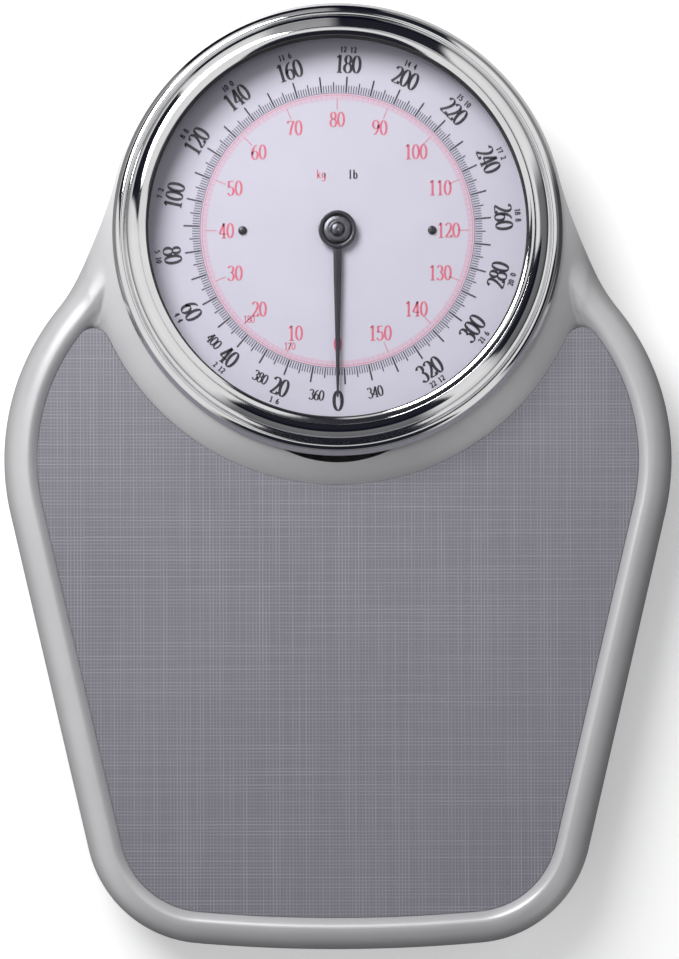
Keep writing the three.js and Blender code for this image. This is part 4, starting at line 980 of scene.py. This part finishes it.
def make_print():
    black, grey = Print(0.06), Print(0.05)
    red, pale, pink = Print(0.055), Print(0.045), Print(0.03)
    turn = 2 * math.pi
    # kilogram ring
    pink.ring(57.9, 60.9)
    red.ring(60.0, 60.2)
    for kg in range(KG_TURN):
        angle = turn * kg / KG_TURN
        pale.tick(angle, 58.3 if kg % 5 else 57.6, 60.0, 0.2)
        if kg % 10 == 0 and kg:
            red.tick(angle, 53.6, 58.4, 0.34)
    for kg in range(10, KG_TURN, 10):
        middle = head + spoke(turn * kg / KG_TURN) * 49.3
        red.text(str(kg), middle, Vector((0, 1)), 6.9, 0.145, 0.06, 0.5)
    red.text("0", head + spoke(0) * 50.5, Vector((0, 1)), 6.9, 0.145, 0.06)
    for kg in (170, 180):
        red.text(str(kg), head + spoke(turn * kg / KG_TURN) * 55.6, Vector((0, 1)), 3.4, 0.14, 0.07)
    # pound ring
    grey.ring(60.9, 61.15)
    for lb in range(math.floor(LB_TURN) + 1):
        angle = turn * lb / LB_TURN
        if lb % 10 == 0:
            black.tick(angle, 61.3, 68.4, 0.72)
        elif lb % 5 == 0:
            black.tick(angle, 61.3, 65.8, 0.5)
        else:
            grey.tick(angle, 61.3, 64.4, 0.46)
    for lb in range(0, math.floor(LB_TURN), 20):
        angle = turn * lb / LB_TURN
        way = spoke(angle)
        outward = 90 < lb < 270
        up = way if outward else -way
        small = lb >= 340
        size = 5.0 if small else 9.4 if lb == 0 else 8.2
        radius = 73.6 if small else 75.6 if lb == 0 else 74.0
        black.text(str(lb), head + way * radius, up, size, 0.165, 0.065, 0.47)
    for lb in range(360, LB_CAPACITY + 1, 20):
        way = spoke(turn * (lb - LB_TURN) / LB_TURN)
        black.text(str(lb), head + way * 73.6, -way, 4.8, 0.17, 0.075, 0.46)
    for lb in range(20, 340, 20):
        way = spoke(turn * lb / LB_TURN)
        stones, rest = divmod(lb, 14)
        up = way if 90 < lb < 270 else -way
        black.text(f"{stones} {rest}", head + way * 80.4, up, 2.5, 0.24, 0.15, 0.6)
    # units, between the hub and the scales
    red.text("kg", head + Vector((-7, 25)), Vector((0, 1)), 4.2, 0.14, 0.07, 0.52)
    black.text("lb", head + Vector((7, 25)), Vector((0, 1)), 4.2, 0.16, 0.08, 0.5)
    black.finish("print_black", BLACK_INK, "black_enamel")
    grey.finish("print_grey", GREY_INK, "black_enamel")
    red.finish("print_red", RED_INK, "dial_white")
    pale.finish("print_rose", ROSE_INK, "dial_white")
    pink.finish("print_pink", PINK_INK, "dial_white")


# ---------------------------------------------------------------- pointer


def make_pointer():
    low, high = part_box("pointer")
    z0, z1 = low.z / MM, high.z / MM
    length = HEAD_Y - low.y / MM
    blade = z0 + 0.9
    stations = [(7.5, 1.9), (20, 1.75), (40, 1.25), (58, 0.85), (68, 0.62)]
    stations += [(length - 0.6, 0.42), (length, 0.18)]
    verts, faces = [], []
    for along, half in stations:
        y = HEAD_Y - along
        left = [(-half, z0), (-half, blade - 0.2), (-half * 0.55, blade)]
        section = left + [(-x, z) for x, z in reversed(left)]
        verts += [(x, y, z) for x, z in section]
    for k in range(len(stations) - 1):
        for i in range(6):
            j = (i + 1) % 6
            faces.append((k * 6 + i, k * 6 + j, (k + 1) * 6 + j, (k + 1) * 6 + i))
    faces += [tuple(range(6)), tuple(reversed(range((len(stations) - 1) * 6, len(stations) * 6)))]
    hub = [(1.6, z0), (8.1, z0), (8.5, z0 + 0.5), (8.45, z1 - 0.1), (8.2, z1)]
    hub += [(6.9, z1), (6.5, z1 - 0.25), (6.35, blade), (1.6, blade)]
    hub_verts, hub_faces = lathe(hub, head, 96)
    shift = len(verts)
    verts += hub_verts
    faces += [tuple(i + shift for i in f) for f in hub_faces]
    obj = new_object("pointer_blade", verts, faces, "pointer", BLACK)
    fix_normals(obj)
    split = obj.modifiers.new("split", "EDGE_SPLIT")
    split.split_angle = math.radians(35)
    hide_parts("pointer")
    low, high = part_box("pointer_cap")
    z0, z1 = low.z / MM, high.z / MM
    cap = [(1.55, z0), (6.0, z0), (6.15, z0 + 0.25), (5.9, z0 + 0.6), (4.6, z0 + 0.85)]
    cap += [(3.4, z0 + 0.8), (3.1, z0 + 1.0), (2.9, z0 + 1.6), (2.2, z1 - 0.2), (1.1, z1)]
    cap += [(0.0001, z1 + 0.01)]
    under = [(0.0001, z0 + 0.95), (1.55, z0 + 0.95)]
    cap_verts, cap_faces = lathe(bend(cap, 0.3, 3) + under, head, 72)
    obj = new_object("pointer_cap_dome", cap_verts, cap_faces, "pointer", HUB)
    fix_normals(obj)
    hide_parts("pointer_cap")


make_springs()
make_shell()
make_mat()
make_bezel()
make_print()
make_pointer()

# ---------------------------------------------------------------- floor and light

FLOOR_SIZE = 8.0
half_floor = FLOOR_SIZE / 2
floor_corners = [(x * half_floor, y * half_floor, 0) for x, y in ((-1, -1), (1, -1), (1, 1), (-1, 1))]
floor_mesh = bpy.data.meshes.new("floor")
floor_mesh.from_pydata(floor_corners, [], [(0, 1, 2, 3)])
floor = bpy.data.objects.new("floor", floor_mesh)
scene.collection.objects.link(floor)
paper = Nodes("paper_floor")
paper.set(Roughness=0.9, Emission_Color=(1, 1, 1, 1), Emission_Strength=0.25)
paper_tone = paper.ramp(paper.noise(3, 2), [(0.3, (0.90, 0.90, 0.90)), (0.7, (0.92, 0.92, 0.92))])
paper.link(paper_tone, paper.bsdf.inputs["Base Color"])
floor_mesh.materials.append(paper.material)
floor.visible_diffuse = False
floor.visible_glossy = False


def area_light(name, place, aim, size, power):
    data = bpy.data.lights.new(name, "AREA")
    data.shape = "DISK"
    data.size = size
    data.energy = power
    obj = bpy.data.objects.new(name, data)
    obj.location = place
    obj.rotation_euler = (Vector(aim) - Vector(place)).to_track_quat("-Z", "Y").to_euler()
    scene.collection.objects.link(obj)


WORLD_STRENGTH = 0.85
area_light("key", (-0.36, 0.55, 0.74), (0, 0.0, 0.04), 0.55, 8.5)

world = bpy.data.worlds.new("studio")
scene.world = world
world.use_nodes = True
tree = world.node_tree
tree.nodes.clear()


def world_node(kind, **values):
    node = tree.nodes.new(kind)
    for key, value in values.items():
        if key in node.inputs:
            node.inputs[key].default_value = value
        else:
            setattr(node, key, value)
    return node


def world_math(operation, a, b=None):
    node = world_node("ShaderNodeMath", operation=operation)
    for i, value in enumerate(x for x in (a, b) if x is not None):
        if isinstance(value, (int, float)):
            node.inputs[i].default_value = value
        else:
            tree.links.new(value, node.inputs[i])
    return node.outputs[0]


def world_step(source, low, high, soft):
    """1 between low and high, with soft edges."""
    up = world_node("ShaderNodeMapRange", interpolation_type="SMOOTHSTEP")
    down = world_node("ShaderNodeMapRange", interpolation_type="SMOOTHSTEP")
    for node, at in ((up, low), (down, high)):
        node.inputs["From Min"].default_value = at - soft
        node.inputs["From Max"].default_value = at + soft
        tree.links.new(source, node.inputs["Value"])
    return world_math("MULTIPLY", up.outputs[0], world_math("SUBTRACT", 1.0, down.outputs[0]))


way = world_node("ShaderNodeSeparateXYZ")
tree.links.new(world_node("ShaderNodeTexCoord").outputs["Generated"], way.inputs[0])
azimuth = world_math("ARCTAN2", way.outputs["X"], way.outputs["Y"])  # 0 at +Y, positive towards +X
elevation = world_math("ARCSINE", way.outputs["Z"])

# The studio's dark and dim parts: azimuth range, elevation range, softness, depth. One laps over the next.
SCREENS = [
    (66, 123, -95, 44, 6, 0.80),
    (150, 180, -95, 44, 6, 0.80),
    (-180, -142, -95, 44, 6, 0.80),
    (-1, 27, -20, 58, 2.0, 0.985),
    (-17, 1, 0, 52, 3.0, 0.6),
    (-38, 8, 56, 84, 2.5, 0.97),
    (84, 121, 30, 62, 2.0, 0.985),
    (141, 180, 30, 84, 2.0, 0.985),
    (-180, -143, 30, 84, 2.0, 0.985),
    (-74, -43, 8, 70, 1.5, 0.99),
    (-38, 10, -85, -3, 2.0, 0.97),
]


def span(source, low, high, soft):
    """1 between two angles in degrees, with soft edges; a range may run on to half a turn."""
    low = low - 20 if low <= -180 else low
    high = high + 20 if high >= 180 else high
    return world_step(source, math.radians(low), math.radians(high), math.radians(soft))


light = None
for az0, az1, el0, el1, soft, depth in SCREENS:
    spot = world_math("MULTIPLY", span(azimuth, az0, az1, soft), span(elevation, el0, el1, soft))
    left = world_math("SUBTRACT", 1.0, world_math("MULTIPLY", spot, depth))
    light = world_math("MULTIPLY", light, left) if light else left

sky = world_node("ShaderNodeValToRGB")
stops = [(0.0, 0.22), (0.42, 0.32), (0.52, 0.85), (0.75, 1.0), (1.0, 0.95)]
while len(sky.color_ramp.elements) < len(stops):
    sky.color_ramp.elements.new(0.5)
for element, (at, value) in zip(sky.color_ramp.elements, stops):
    element.position = at
    element.color = (value, value, value, 1)
height = world_math("ADD", world_math("MULTIPLY", way.outputs["Z"], 0.5), 0.5)
tree.links.new(height, sky.inputs["Fac"])
mix = world_node("ShaderNodeMix", data_type="RGBA")
mix.inputs[6].default_value = (0.004, 0.005, 0.014, 1)
tree.links.new(sky.outputs["Color"], mix.inputs[7])
tree.links.new(light, mix.inputs[0])
background = world_node("ShaderNodeBackground", Strength=WORLD_STRENGTH)
tree.links.new(mix.outputs[2], background.inputs["Color"])
output = world_node("ShaderNodeOutputWorld")
tree.links.new(background.outputs[0], output.inputs["Surface"])

scene.view_settings.view_transform = "Standard"
